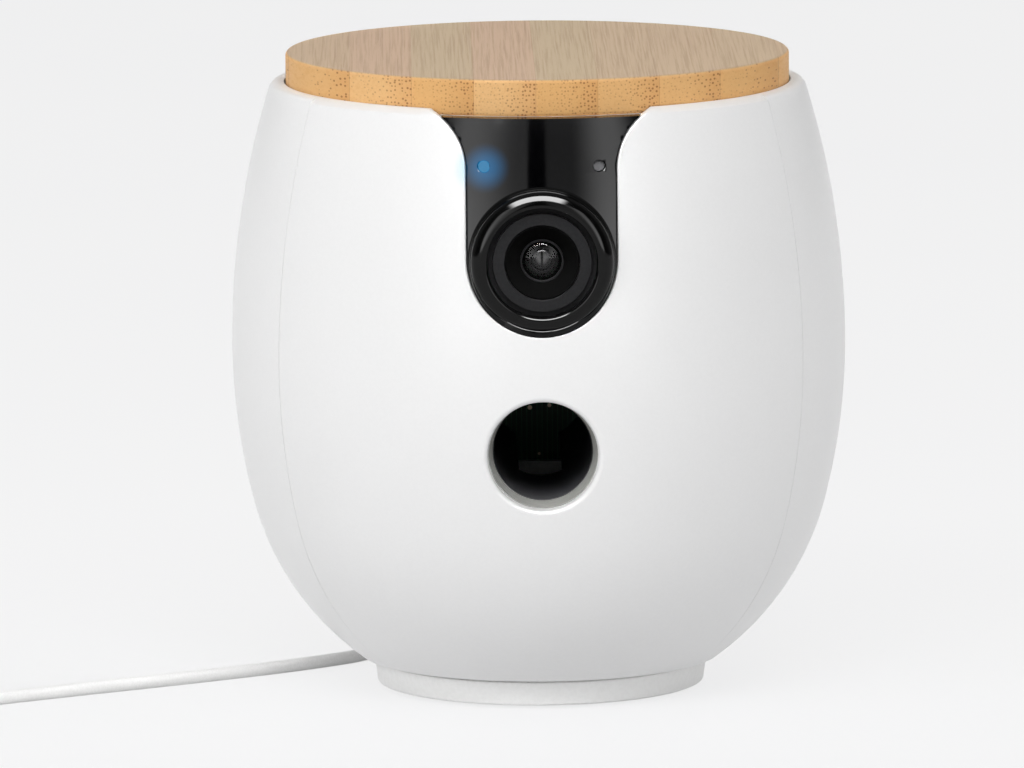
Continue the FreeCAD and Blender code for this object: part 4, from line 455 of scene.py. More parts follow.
def steps(low, high, size):
    count = max(1, round((high - low) / size))
    return [low + (high - low) * step / count for step in range(1, count)]


def pick_edges(piece, wanted, along):
    """Selects the sharp edges whose two ends pass the test; along keeps those that run that way."""
    bpy.ops.object.mode_set(mode="EDIT")
    bpy.ops.mesh.select_mode(type="EDGE")
    bpy.ops.mesh.select_all(action="DESELECT")
    shape = bmesh.from_edit_mesh(piece.data)
    for edge in shape.edges:
        run = (edge.verts[1].co - edge.verts[0].co).normalized()
        fits = along is None or abs(run[along]) > 0.99
        if fits and edge.calc_face_angle(0.0) > 0.3 and all(wanted(end.co) for end in edge.verts):
            edge.select_set(True)
    bmesh.update_edit_mesh(piece.data)


def round_edges(piece, width, segments, wanted, along=None):
    pick_edges(piece, wanted, along)
    bpy.ops.mesh.bevel(offset=width, offset_type="OFFSET", segments=segments, profile=0.5, affect="EDGES")
    bpy.ops.object.mode_set(mode="OBJECT")


def wrap_on_body(piece, turn=0.0, rim_round=0.0, rim_wall=SHELL_WALL):
    """Bends a flat wall onto the body, its depth straight back in the middle and radial elsewhere."""
    for vertex in piece.data.vertices:
        u, height, depth = vertex.co.x, vertex.co.y, -vertex.co.z
        angle = u / BODY_RADIUS
        radius = body_radius(height)
        over = height - (RIM_HEIGHT - rim_round)
        if rim_round and over > 0:
            drop = rim_round - math.sqrt(max(rim_round ** 2 - over ** 2, 0))
            radius -= drop * (1 - depth / SHELL_WALL)
            depth *= rim_wall / SHELL_WALL
        share = min(max((math.degrees(abs(angle)) - 20) / 20, 0), 1)
        straight = 1 - share * share * (3 - 2 * share) if not turn else 0
        inward = angle * (1 - straight)
        x = radius * math.sin(angle) - depth * math.sin(inward)
        y = -radius * math.cos(angle) + depth * math.cos(inward)
        vertex.co = (
            (x * math.cos(turn) - y * math.sin(turn)) * MM,
            (x * math.sin(turn) + y * math.cos(turn)) * MM,
            height * MM,
        )


def finish_shape(piece, angle=35):
    """Turns the normals outward and smooths faces that meet at less than the angle."""
    make_active(piece)
    edit_all()
    bpy.ops.mesh.normals_make_consistent(inside=False)
    bpy.ops.object.mode_set(mode="OBJECT")
    bpy.ops.object.shade_smooth_by_angle(angle=math.radians(angle))
    bpy.ops.object.modifier_add(type="WEIGHTED_NORMAL")
    piece.modifiers[-1].keep_sharp = True
    bpy.ops.object.modifier_apply(modifier=piece.modifiers[-1].name)


def on_outside(spot):
    return abs(spot.z) < 0.001


def make_front_cover():
    seam = BODY_RADIUS * SEAM_ANGLE - SEAM_GAP / 2
    outline = [(seam, RIM_HEIGHT)] + notch_points(0.0, RIM_HEIGHT)
    outline += [(-seam, RIM_HEIGHT), (-seam, SHELL_FOOT), (seam, SHELL_FOOT)]
    cover = flat_wall("front_cover", outline, [ring_points(0, HOLE_HEIGHT, HOLE_RADIUS, 72)], SHELL_WALL)

    def near_hole(spot):
        return math.hypot(spot.x, spot.y - HOLE_HEIGHT) < HOLE_RADIUS + 2

    def at_seam(spot):
        return abs(spot.x) > seam - 0.01 or spot.y < SHELL_FOOT + 0.01

    round_edges(cover, 1.3, 6, lambda spot: on_outside(spot) and near_hole(spot))
    round_edges(cover, 0.6, 4, lambda spot: on_outside(spot) and not near_hole(spot) and not at_seam(spot))
    round_edges(cover, 0.1, 2, lambda spot: on_outside(spot) and at_seam(spot))
    cut_grid(cover, steps(-seam, seam, 2.5), steps(SHELL_FOOT, RIM_HEIGHT, 2.5) + [RIM_HEIGHT - 1.2])
    for vertex in cover.data.vertices:
        depth = -vertex.co.z
        if near_hole(vertex.co) and depth > 1.35:
            draw_in = 1 - (depth - 1.3) * 0.149 / HOLE_RADIUS
            vertex.co.x *= draw_in
            vertex.co.y = HOLE_HEIGHT + (vertex.co.y - HOLE_HEIGHT) * draw_in
    wrap_on_body(cover, rim_round=1.5, rim_wall=3.0)
    finish_shape(cover)
    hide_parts("front_shell")
    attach(cover, "rotor")
    return cover


def make_back_cover():
    half = BODY_RADIUS * (math.pi - SEAM_ANGLE) - SEAM_GAP / 2
    outline = [(half, RIM_HEIGHT), (-half, RIM_HEIGHT), (-half, SHELL_FOOT), (half, SHELL_FOOT)]
    places = [(0.0, 0.0)]
    for ring in (1, 2):
        for step in range(6 * ring):
            angle = math.pi * step / (3 * ring)
            places.append((ring * GRILLE_PITCH * math.cos(angle), ring * GRILLE_PITCH * math.sin(angle)))
    holes = [ring_points(x, SPEAKER_HEIGHT + z, GRILLE_HOLE, 20) for x, z in places]
    holes.append(ring_points(0, BUTTON_HEIGHT, BUTTON_HOLE, 48))
    cover = flat_wall("back_cover", outline, holes, SHELL_WALL)

    def on_edge(spot):
        return abs(spot.x) > half - 0.01 or spot.y < SHELL_FOOT + 0.01

    def on_rim(spot):
        return spot.y > RIM_HEIGHT - 0.01

    round_edges(cover, 0.25, 3, lambda spot: on_outside(spot) and not on_edge(spot) and not on_rim(spot))
    round_edges(cover, 0.6, 4, lambda spot: on_outside(spot) and on_rim(spot))
    round_edges(cover, 0.1, 2, lambda spot: on_outside(spot) and on_edge(spot))
    cut_grid(cover, steps(-half, half, 3.0), steps(SHELL_FOOT, RIM_HEIGHT, 2.5) + [RIM_HEIGHT - 1.2])
    wrap_on_body(cover, turn=math.pi, rim_round=1.5, rim_wall=3.0)
    finish_shape(cover)
    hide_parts("rear_shell")
    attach(cover, "rotor")
    return cover


def make_camera_panel():
    top = LID_SEAT
    outline = notch_points(PANEL_GAP, top)
    holes = [ring_points(0, LENS_HEIGHT, BEZEL_NECK + 0.1, 96)]
    holes += [ring_points(side * SIGHT_OFFSET, SIGHT_HEIGHT, SIGHT_RADIUS + 0.1, 32) for side in (-1, 1)]
    panel = flat_wall("camera_panel_gloss", outline, holes, SHELL_WALL)

    def at_sight(spot):
        return spot.y > SIGHT_HEIGHT - 2 and abs(abs(spot.x) - SIGHT_OFFSET) < 2

    round_edges(panel, 0.25, 3, lambda spot: on_outside(spot) and spot.y < top - 0.1 and not at_sight(spot))
    cut_grid(panel, steps(-28, 28, 2.0), steps(PANEL_CENTRE - PANEL_HALF, top, 2.0) + [top - 0.8])
    for vertex in panel.data.vertices:
        if vertex.co.y > top - 0.5 and vertex.co.z < -2:
            vertex.co.z = -PANEL_LIP
    wrap_on_body(panel)
    finish_shape(panel)
    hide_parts("camera_panel")
    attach(panel, "rotor")
    return panel


# ---- lens
def turned_piece(name, profile, axis, spot, steps_round=128):
    """A closed profile of (radius, place along the axis) points, spun round the axis."""
    mesh = bpy.data.meshes.new(name)
    count = len(profile)
    mesh.from_pydata(
        [(radius, 0, along) for radius, along in profile], [(n, (n + 1) % count) for n in range(count)], []
    )
    piece = bpy.data.objects.new(name, mesh)
    bpy.context.collection.objects.link(piece)
    make_active(piece)
    edit_all()
    bpy.ops.mesh.spin(steps=steps_round, angle=2 * math.pi, center=(0, 0, 0), axis=(0, 0, 1))
    bpy.ops.mesh.select_all(action="SELECT")
    bpy.ops.mesh.remove_doubles(threshold=0.0005)
    bpy.ops.mesh.normals_make_consistent(inside=False)
    bpy.ops.object.mode_set(mode="OBJECT")
    turn = Vector((0, 0, 1)).rotation_difference(Vector(axis)).to_matrix().to_4x4()
    mesh.transform(Matrix.Scale(MM, 4) @ Matrix.Translation(spot) @ turn)
    return piece


def arc(middle_radius, middle_depth, reach_out, reach_along, start, end, count):
    points = []
    for step in range(count + 1):
        angle = math.radians(start + (end - start) * step / count)
        radius = middle_radius + reach_out * math.cos(angle)
        points.append((radius, middle_depth + reach_along * math.sin(angle)))
    return points


LENS_AXIS = (0, -1, 0)
LENS_SPOT = Vector((0, 0, LENS_HEIGHT))
# Inner radius, outer radius, back and front of each ring along the lens axis
RETAINING_RINGS = ((4.4, 4.84, 64.0, 64.9), (2.5, 2.94, 62.75, 63.4))


def make_bezel():
    crest = 12.9
    profile = arc(crest, BEZEL_FRONT - 0.5, -0.6, 0.5, 0, 90, 5)
    profile += arc(crest, BEZEL_FRONT - 2.6, 3.1, 2.6, 90, 8, 14)[1:]
    profile += [(16.0, 65.1), (BEZEL_NECK, 65.1), (BEZEL_NECK, BEZEL_BACK), (12.3, BEZEL_BACK)]
    bezel = turned_piece("lens_bezel_gloss", profile, LENS_AXIS, LENS_SPOT)
    foot_profile = [
        (15.6, -1.0), (16.62, -0.4), (16.62, 0.0), (16.5, 0.1),
        (16.3, 0.3), (16.13, 0.6), (16.0, 1.1), (15.6, 1.2),
    ]
    foot = turned_piece("bezel_foot", foot_profile, (0, 0, 1), Vector((0, 0, 0)))
    for vertex in foot.data.vertices:
        x, rise, height = vertex.co.x / MM, vertex.co.y / MM, vertex.co.z / MM
        z = rise + LENS_HEIGHT
        radius = body_radius(z)
        surface = math.sqrt(radius ** 2 - x ** 2)
        share = min(max((BEZEL_FRONT - 1.0 - surface) / 1.8, 0), 1)
        vertex.co = (x * MM, -(surface + (height * share if height > 0 else height)) * MM, z * MM)
    finish_shape(foot, 60)
    join_pieces([bezel, foot])
    finish_shape(bezel, 40)
    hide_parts("lens_bezel")
    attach(bezel, "rotor")
    return bezel


def make_lens_ring():
    front = BEZEL_FRONT - 1.9
    back = front - 2.6
    groove = front - 1.4
    profile = [(12.2, back), (12.2, groove), (11.1, groove), (11.1, front - 0.15), (10.95, front)]
    profile += [(8.5, front), (8.4, front - 0.1), (8.4, back)]
    ring = turned_piece("grey_lens_ring", profile, LENS_AXIS, LENS_SPOT)
    finish_shape(ring, 30)
    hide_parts("lens_ring")
    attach(ring, "rotor")
    return ring


def make_lens_glass():
    base = BEZEL_FRONT - 1.9 - 3.2 - 1.4
    pieces = []
    for name, radius, rise, edge, start, node in (
        ("front_glass", 4.8, 1.2, 0.2, base, "front_lens"),
        ("inner_glass", 2.9, 0.8, 0.8, base - 1.8, "inner_lens"),
    ):
        ball = (radius ** 2 + rise ** 2) / 2 / rise
        half = math.asin(radius / ball)
        middle = start + edge + rise - ball
        turns = [half * step / 14 for step in range(15)]
        dome = [(ball * math.sin(turn), middle + ball * math.cos(turn)) for turn in turns]
        profile = dome + [(radius, start), (0.0, start)]
        glass = turned_piece(name, profile, LENS_AXIS, LENS_SPOT, 96)
        finish_shape(glass, 30)
        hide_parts(node)
        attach(glass, "rotor")
        pieces.append(glass)
    return pieces


def make_retaining_rings():
    """Thin satin rings that hold the two lenses in the barrel."""
    rings = []
    edge = 0.08
    for inner, outer, back, front in RETAINING_RINGS:
        profile = [(inner, back), (inner, front - edge), (inner + edge, front)]
        profile += [(outer - edge, front), (outer, front - edge), (outer, back)]
        rings.append(turned_piece("lens_retaining_rings", profile, LENS_AXIS, LENS_SPOT, 96))
    join_pieces(rings)
    finish_shape(rings[0], 30)
    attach(rings[0], "rotor")
    return rings[0]


# ---- lid
def make_lid():
    deselect()
    bpy.ops.mesh.primitive_cylinder_add(
        vertices=256, radius=LID_RADIUS * MM, depth=LID_THICKNESS * MM,
        location=(0, 0, (LID_SEAT + LID_THICKNESS / 2) * MM),
    )
    lid = name_piece("bamboo_lid")
    settle(lid)
    round_edges(lid, 0.9 * MM, 5, lambda spot: True)
    finish_shape(lid, 40)
    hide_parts("lid_board")
    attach(lid, "lid")
    return lid


# ---- materials
def new_finish(name):
    """A material with its shader and the Object coordinates that its patterns read."""
    finish = bpy.data.materials.new(name)
    finish.use_nodes = True
    tree = finish.node_tree
    place = tree.nodes.new("ShaderNodeTexCoord").outputs["Object"]
    return finish, tree, tree.nodes["Principled BSDF"], place


def feed(tree, node, links):
    """Links or sets a node's inputs."""
    for key, value in links.items():
        if isinstance(value, bpy.types.NodeSocket):
            tree.links.new(value, node.inputs[key])
        else:
            node.inputs[key].default_value = value


def add(tree, kind, links=None, **settings):
    """Adds a node with its settings and inputs."""
    node = tree.nodes.new(kind)
    for key, value in settings.items():
        setattr(node, key, value)
    feed(tree, node, links or {})
    return node


def sum_of(tree, operation, first, second=0.0, third=0.0, clamp=False):
    node = add(tree, "ShaderNodeMath", {0: first, 1: second, 2: third}, operation=operation, use_clamp=clamp)
    return node.outputs[0]


def fade(tree, value, low, high, to_low=0.0, to_high=1.0):
    node = add(
        tree, "ShaderNodeMapRange",
        {"Value": value, "From Min": low, "From Max": high, "To Min": to_low, "To Max": to_high},
        interpolation_type="SMOOTHSTEP",
    )
    return node.outputs["Result"]


def blend(tree, share, first, second):
    links = {"Factor": share, 6: first, 7: second}
    return add(tree, "ShaderNodeMix", links, data_type="RGBA").outputs[2]


def noise(tree, place, scale, **inputs):
    """A noise texture's value."""
    links = {"Vector": place, "Scale": scale, **inputs}
    return add(tree, "ShaderNodeTexNoise", links).outputs["Fac"]


def parts_of(tree, vector):
    """A vector's X, Y and Z."""
    return add(tree, "ShaderNodeSeparateXYZ", {0: vector}).outputs


def raise_relief(tree, shader, height, strength, distance=0.0002):
    relief = add(tree, "ShaderNodeBump", {"Height": height, "Strength": strength, "Distance": distance})
    tree.links.new(relief.outputs["Normal"], shader.inputs["Normal"])


def set_uniform(shader, uniform):
    """Sets values on the shader's own sockets, named with _ for a space."""
    for label, value in uniform.items():
        shader.inputs[label.replace("_", " ")].default_value = value


def object_place(tree):
    """The Object coordinates that a finish already reads."""
    return next(node for node in tree.nodes if node.type == "TEX_COORD").outputs["Object"]


def shader_of(finish):
    return finish.node_tree, finish.node_tree.nodes["Principled BSDF"]


def colour_of(shader):
    """What a finish already sends into its colour."""
    return shader.inputs["Base Color"].links[0].from_socket


def stretched(tree, place, scale):
    return add(tree, "ShaderNodeMapping", {"Vector": place, "Scale": scale}).outputs["Vector"]


def new_group(name, inputs, outputs):
    group = bpy.data.node_groups.new(name, "ShaderNodeTree")
    group.interface.new_socket("Place", in_out="INPUT", socket_type="NodeSocketVector")
    for label, value in inputs:
        kind = "NodeSocketColor" if isinstance(value, tuple) else "NodeSocketFloat"
        group.interface.new_socket(label, in_out="INPUT", socket_type=kind).default_value = value
    for label in outputs:
        kind = "NodeSocketColor" if label.startswith("Colour") else "NodeSocketFloat"
        group.interface.new_socket(label, in_out="OUTPUT", socket_type=kind)
    return group, group.nodes.new("NodeGroupInput").outputs, group.nodes.new("NodeGroupOutput")


def linear(value):
    """The linear strength of a shade that reads 0 to 255 on a screen."""
    part = value / 255
    return part / 12.92 if part <= 0.04045 else ((part + 0.055) / 1.055) ** 2.4


def tone(red, green, blue):
    return (linear(red), linear(green), linear(blue), 1.0)


def moulding_group():
    """Moulded plastic: a fine fleck in the tone, a fine grain and a slightly uneven gloss."""
    group, given, out = new_group(
        "moulding",
        [
            ("Grain size", 900.0), ("Cloud size", 30.0), ("Gloss", 0.35), ("Gloss spread", 0.06),
            ("Colour", (0.8, 0.8, 0.8, 1)), ("Fleck colour", (0.75, 0.75, 0.75, 1)),
        ],
        ["Colour", "Roughness", "Height"],
    )
    cloud = noise(group, given["Place"], given["Cloud size"], Detail=3.0)
    grain = noise(group, given["Place"], given["Grain size"], Detail=2.0)
    share = fade(group, cloud, 0.3, 0.7)
    speckle = fade(group, grain, 0.35, 0.65)
    feed(group, out, {
        "Colour": blend(group, speckle, given["Colour"], given["Fleck colour"]), "Height": grain,
        "Roughness": sum_of(group, "MULTIPLY_ADD", share, given["Gloss spread"], given["Gloss"]),
    })
    return group


def metal_group():
    """Drawn or turned metal: fine scratches along one way over a soft cloud."""
    group, given, out = new_group(
        "drawn_metal",
        [
            ("Gloss", 0.3), ("Gloss spread", 0.15),
            ("Colour", (0.6, 0.6, 0.6, 1)), ("Cloud colour", (0.5, 0.5, 0.5, 1)),
        ],
        ["Colour", "Roughness", "Height"],
    )
    scratch = noise(group, stretched(group, given["Place"], (1.0, 1.0, 18.0)), 500.0, Detail=3.0)
    cloud = noise(group, given["Place"], 120.0, Detail=2.0)
    feed(group, out, {
        "Colour": blend(group, cloud, given["Colour"], given["Cloud colour"]), "Height": scratch,
        "Roughness": sum_of(group, "MULTIPLY_ADD", scratch, given["Gloss spread"], given["Gloss"]),
    })
    return group


def dress(group, name, settings, bump, **uniform):
    """A material from a group, with its own values; uniform values go on the shader itself."""
    finish, tree, shader, place = new_finish(name)
    look = add(tree, "ShaderNodeGroup", node_tree=group)
    feed(tree, look, {"Place": place, **settings})
    feed(tree, shader, {"Base Color": look.outputs["Colour"], "Roughness": look.outputs["Roughness"]})
    raise_relief(tree, shader, look.outputs["Height"], bump)
    set_uniform(shader, uniform)
    return finish


def plastic(name, colour, fleck, gloss=0.35, spread=0.06, bump=0.05, grain=900.0, size=30.0, **uniform):
    settings = {
        "Colour": tone(*colour), "Fleck colour": tone(*fleck), "Gloss": gloss, "Gloss spread": spread,
        "Grain size": grain, "Cloud size": size,
    }
    return dress(MOULDING, name, settings, bump, **uniform)


def metal(name, colour, cloud, gloss=0.28, spread=0.15, bump=0.06):
    settings = {"Colour": tone(*colour), "Cloud colour": tone(*cloud), "Gloss": gloss, "Gloss spread": spread}
    return dress(METAL, name, settings, bump, Metallic=1.0)


def paint(finish, *names):
    """Gives CAD nodes this finish."""
    for name in names:
        for slot in CAD[name].material_slots:
            slot.material = finish


def paint_piece(piece, finish):
    piece.data.materials.clear()
    piece.data.materials.append(finish)


MOULDING = moulding_group()
METAL = metal_group()


def from_light(tree, low, high, to_low, to_high):
    """A value that changes with the distance from the status light, in millimetres."""
    spot = (-SIGHT_OFFSET * MM, -body_radius(SIGHT_HEIGHT) * MM, SIGHT_HEIGHT * MM)
    links = {0: object_place(tree), 1: spot}
    away = add(tree, "ShaderNodeVectorMath", links, operation="DISTANCE").outputs["Value"]
    return fade(tree, away, low * MM, high * MM, to_low, to_high)


def shell_finish():
    """White satin plastic, with the status light's blue spill painted into its colour beside the light."""
    finish = plastic("white_shell", (236, 236, 236), (235, 235, 235), gloss=0.30, spread=0.05, bump=0.004,
                     grain=1300.0, size=14.0, Specular_IOR_Level=0.4)
    tree, shader = shader_of(finish)
    # Painted light: the status light's blue spill on the shell, blended into the base colour near the light.
    glow = from_light(tree, 4.0, 8.0, 0.6, 0.0)
    feed(tree, shader, {"Base Color": blend(tree, glow, colour_of(shader), tone(150, 208, 240))})
    return finish


def panel_finish():
    """Black gloss panel; the status light's glow through it at the left is painted on as emission."""
    finish = plastic("panel_gloss_black", (2, 2, 3), (4, 4, 5), gloss=0.06, spread=0.03, bump=0.005,
                     Specular_IOR_Level=0.25)
    tree, shader = shader_of(finish)
    # Painted glow: emission on the panel that fades out round the status light.
    glow = from_light(tree, 1.0, 6.2, 1.0, 0.0)
    feed(tree, shader, {
        "Emission Color": blend(tree, glow, (0, 0, 0, 1), (0.0, 0.10, 0.25, 1)), "Emission Strength": 1.0,
    })
    return finish


STRIP_START = 278.0
STRIP_WIDTH = 13.85
DOT_PITCH = 0.86


def bamboo_finish():
    """Glued bamboo strips whose fibres run front to back: dots on the front edge, streaks on top; the top's
    paler, greyer tone is partly painted sheen.
    """
    finish, tree, shader, place = new_finish("bamboo")
    split = parts_of(tree, stretched(tree, place, (1000, 1000, 1000)))
    x, y, z = split["X"], split["Y"], split["Z"]
    strip_place = sum_of(tree, "DIVIDE", sum_of(tree, "ADD", x, STRIP_START), STRIP_WIDTH)
    strip = sum_of(tree, "FLOOR", strip_place)
    across = sum_of(tree, "FRACT", strip_place)
    chance = add(tree, "ShaderNodeTexWhiteNoise", {"W": strip}, noise_dimensions="1D").outputs
    facing = parts_of(tree, add(tree, "ShaderNodeTexCoord").outputs["Normal"])["Z"]
    top = fade(tree, facing, 0.55, 0.95)

    def along_fibres(across_share, along_share):
        """Places drawn out along the fibres, which run front to back."""
        links = {
            "X": sum_of(tree, "MULTIPLY", x, across_share), "Y": sum_of(tree, "MULTIPLY", y, along_share),
            "Z": sum_of(tree, "MULTIPLY", z, across_share),
        }
        return add(tree, "ShaderNodeCombineXYZ", links).outputs[0]

    wobble = noise(tree, stretched(tree, place, (60, 4, 60)), 1.0)
    cells = {"Vector": along_fibres(1 / DOT_PITCH, 0.012), "Scale": 1.0, "Randomness": 0.6}
    fibres = add(tree, "ShaderNodeTexVoronoi", cells).outputs["Distance"]
    crowd = fade(tree, sum_of(tree, "MULTIPLY_ADD", wobble, 0.35, across), 0.35, 1.15)
    edge_of_dot = sum_of(tree, "MULTIPLY_ADD", crowd, 0.07, 0.21)
    dots = fade(tree, sum_of(tree, "SUBTRACT", fibres, edge_of_dot), 0.09, -0.09)
    dots = sum_of(tree, "MULTIPLY", dots, sum_of(tree, "MULTIPLY_ADD", crowd, 0.5, 0.3))
    fine = noise(tree, along_fibres(1.6, 0.02), 1.0, Detail=4.0, Roughness=0.65)
    streak = fade(tree, fine, 0.42, 0.68)
    edge_tone = blend(tree, chance["Value"], tone(219, 172, 114), tone(227, 184, 130))
    dark_side = sum_of(tree, "MULTIPLY", fade(tree, across, 0.45, 1.0), 0.4)
    edge_tone = blend(tree, dark_side, edge_tone, tone(200, 146, 90))
    edge_tone = blend(tree, sum_of(tree, "MULTIPLY", streak, 0.3), edge_tone, tone(205, 150, 92))
    edge_tone = blend(tree, dots, edge_tone, tone(140, 92, 56))
    # The top's tone is the face grain's own colour with a painted sheen: paler and greyer than the edge.
    top_tone_and_sheen = blend(tree, chance["Value"], tone(190, 171, 142), tone(197, 169, 144))
    top_tone_and_sheen = blend(tree, sum_of(tree, "MULTIPLY", streak, 0.5), top_tone_and_sheen, tone(165, 140, 116))
    top_tone_and_sheen = blend(tree, sum_of(tree, "MULTIPLY", dots, 0.35), top_tone_and_sheen, tone(156, 126, 104))
    seam = sum_of(tree, "MULTIPLY", fade(tree, across, 0.985, 1.0), 0.35)
    feed(tree, shader, {
        "Base Color": blend(tree, seam, blend(tree, top, edge_tone, top_tone_and_sheen), tone(150, 112, 78)),
        "Roughness": sum_of(tree, "MULTIPLY_ADD", streak, 0.12, 0.42), "IOR": 1.12,
    })
    raise_relief(tree, shader, sum_of(tree, "SUBTRACT", sum_of(tree, "MULTIPLY", streak, -0.5), dots), 0.18)
    return finish


def glass_finish(name, tint, grazing_sheen, **uniform):
    """Coated glass whose colour turns towards a painted sheen where it is seen at a slant, more towards the
    edge of the lens.
    """
    finish, tree, shader, place = new_finish(name)
    # Painted sheen: the colour is blended by how far the surface turns away from the view.
    sheen_mask = add(tree, "ShaderNodeLayerWeight", {"Blend": 0.35}).outputs["Facing"]
    swirl = noise(tree, place, 300.0)
    share = sum_of(tree, "MULTIPLY", sheen_mask, sum_of(tree, "MULTIPLY_ADD", swirl, 0.4, 0.6))
    feed(tree, shader, {
        "Base Color": blend(tree, share, tint, grazing_sheen),
        "Roughness": sum_of(tree, "MULTIPLY_ADD", swirl, 0.004, 0.002),
    })
    set_uniform(shader, uniform)
    return finish


def inner_glass_highlight_finish():
    """The small lens, with two soft highlights and the dark gap between them painted into its colour."""
    finish = glass_finish("inner_glass", (0.002, 0.002, 0.003, 1), (0.02, 0.02, 0.022, 1))
    tree, shader = shader_of(finish)
    tall = 1.15
    lift = 0.4
    links = {
        "Vector": object_place(tree), "Location": (0, 0, -(LENS_HEIGHT + lift) / tall),
        "Scale": (1000, 0, 1000 / tall),
    }
    spot = add(tree, "ShaderNodeMapping", links).outputs[0]
    away = add(tree, "ShaderNodeVectorMath", {0: spot}, operation="LENGTH").outputs["Value"]
    # Painted reflection: two grey patches split by a dark gap, standing in for the lamps' highlights on the
    # lens.
    highlight_gap = fade(tree, sum_of(tree, "ABSOLUTE", parts_of(tree, spot)["X"]), 0.08, 0.4)
    painted_highlights = sum_of(tree, "MULTIPLY", fade(tree, away, 1.75, 0.5), highlight_gap)
    feed(tree, shader, {"Base Color": blend(tree, painted_highlights, colour_of(shader), (0.3, 0.3, 0.3, 1))})
    return finish


def light_finish():
    """The status light behind its clear cap, a little darker in the middle."""
    finish, tree, shader, _ = new_finish("status_blue")
    glow = from_light(tree, 0.3, 1.3, 0.8, 1.0)
    feed(tree, shader, {
        "Emission Color": blend(tree, glow, (0, 0, 0, 1), (0.003, 0.15, 0.32, 1)),
        "Base Color": blend(tree, glow, (0, 0, 0, 1), (0.004, 0.02, 0.04, 1)),
        "Emission Strength": 1.0, "Roughness": 0.2, "Specular IOR Level": 0.25,
    })
    return finish


def board_finish():
    """Circuit board: solder mask over fine copper tracks and pads."""
    finish, tree, shader, place = new_finish("circuit_board")
    track = add(
        tree, "ShaderNodeTexBrick",
        {"Vector": place, "Color1": tone(20, 74, 46), "Color2": tone(24, 84, 52), "Mortar": tone(42, 112, 74),
         "Scale": 420.0, "Mortar Size": 0.045, "Mortar Smooth": 0.1},
    )
    pads = add(tree, "ShaderNodeTexVoronoi", {"Vector": place, "Scale": 260.0, "Randomness": 1.0})
    pad = fade(tree, pads.outputs["Distance"], 0.16, 0.12)
    feed(tree, shader, {
        "Base Color": blend(tree, pad, track.outputs["Color"], tone(196, 186, 160)),
        "Metallic": sum_of(tree, "MULTIPLY", pad, 0.9),
        "Roughness": sum_of(tree, "MULTIPLY_ADD", pad, -0.1, 0.42),
    })
    raise_relief(tree, shader, track.outputs["Fac"], 0.2, 0.0001)
    return finish


def mesh_finish():
    """Fine woven wire in front of the microphone."""
    finish, tree, shader, place = new_finish("microphone_wire")
    weave = add(
        tree, "ShaderNodeTexBrick",
        {"Vector": place, "Color1": tone(18, 18, 19), "Color2": tone(22, 22, 23), "Mortar": tone(52, 52, 54),
         "Scale": 4200.0, "Mortar Size": 0.18, "Brick Width": 0.5, "Row Height": 0.5},
    )
    rough = sum_of(tree, "MULTIPLY_ADD", weave.outputs["Fac"], 0.3, 0.4)
    feed(tree, shader, {"Base Color": weave.outputs["Color"], "Roughness": rough, "Metallic": 0.3})
    return finish


# ---- floor and light
def make_floor():
    deselect()
    bpy.ops.mesh.primitive_grid_add(x_subdivisions=2, y_subdivisions=2, size=9, location=(0, 0, 0))
    floor = name_piece("studio_floor")
    settle(floor)
    finish, tree, shader, place = new_finish("studio_floor")
    cloud = noise(tree, place, 3.0, Detail=2.0)
    pale = blend(tree, cloud, tone(254, 254, 254), tone(252, 252, 253))
    grey = blend(tree, cloud, tone(222, 222, 222), tone(219, 219, 220))
    feed(tree, shader, {"Base Color": grey, "Roughness": 0.9, "Specular IOR Level": 0.0})
    even = add(tree, "ShaderNodeEmission", {"Color": pale, "Strength": 1.0}).outputs[0]
    paths = add(tree, "ShaderNodeLightPath").outputs
    seen = sum_of(tree, "ADD", paths["Is Camera Ray"], paths["Is Glossy Ray"])
    seen = sum_of(tree, "ADD", seen, paths["Is Transmission Ray"], clamp=True)
    share = sum_of(tree, "MULTIPLY", seen, EVEN_SHARE)
    mixed = add(tree, "ShaderNodeMixShader", {0: share, 1: shader.outputs[0], 2: even}).outputs[0]
    tree.links.new(mixed, tree.nodes["Material Output"].inputs["Surface"])
    paint_piece(floor, finish)


def softbox(name, spot, aim, width, height, watts):
    lamp_data = bpy.data.lights.new(name, "AREA")
    lamp_data.shape = "RECTANGLE"
    lamp_data.size = width
    lamp_data.size_y = height
    lamp_data.energy = watts
    lamp = bpy.data.objects.new(name, lamp_data)
    lamp.location = spot
    lamp.visible_glossy = False
    lamp.rotation_euler = (Vector(aim) - Vector(spot)).to_track_quat("-Z", "Y").to_euler()
    bpy.context.collection.objects.link(lamp)


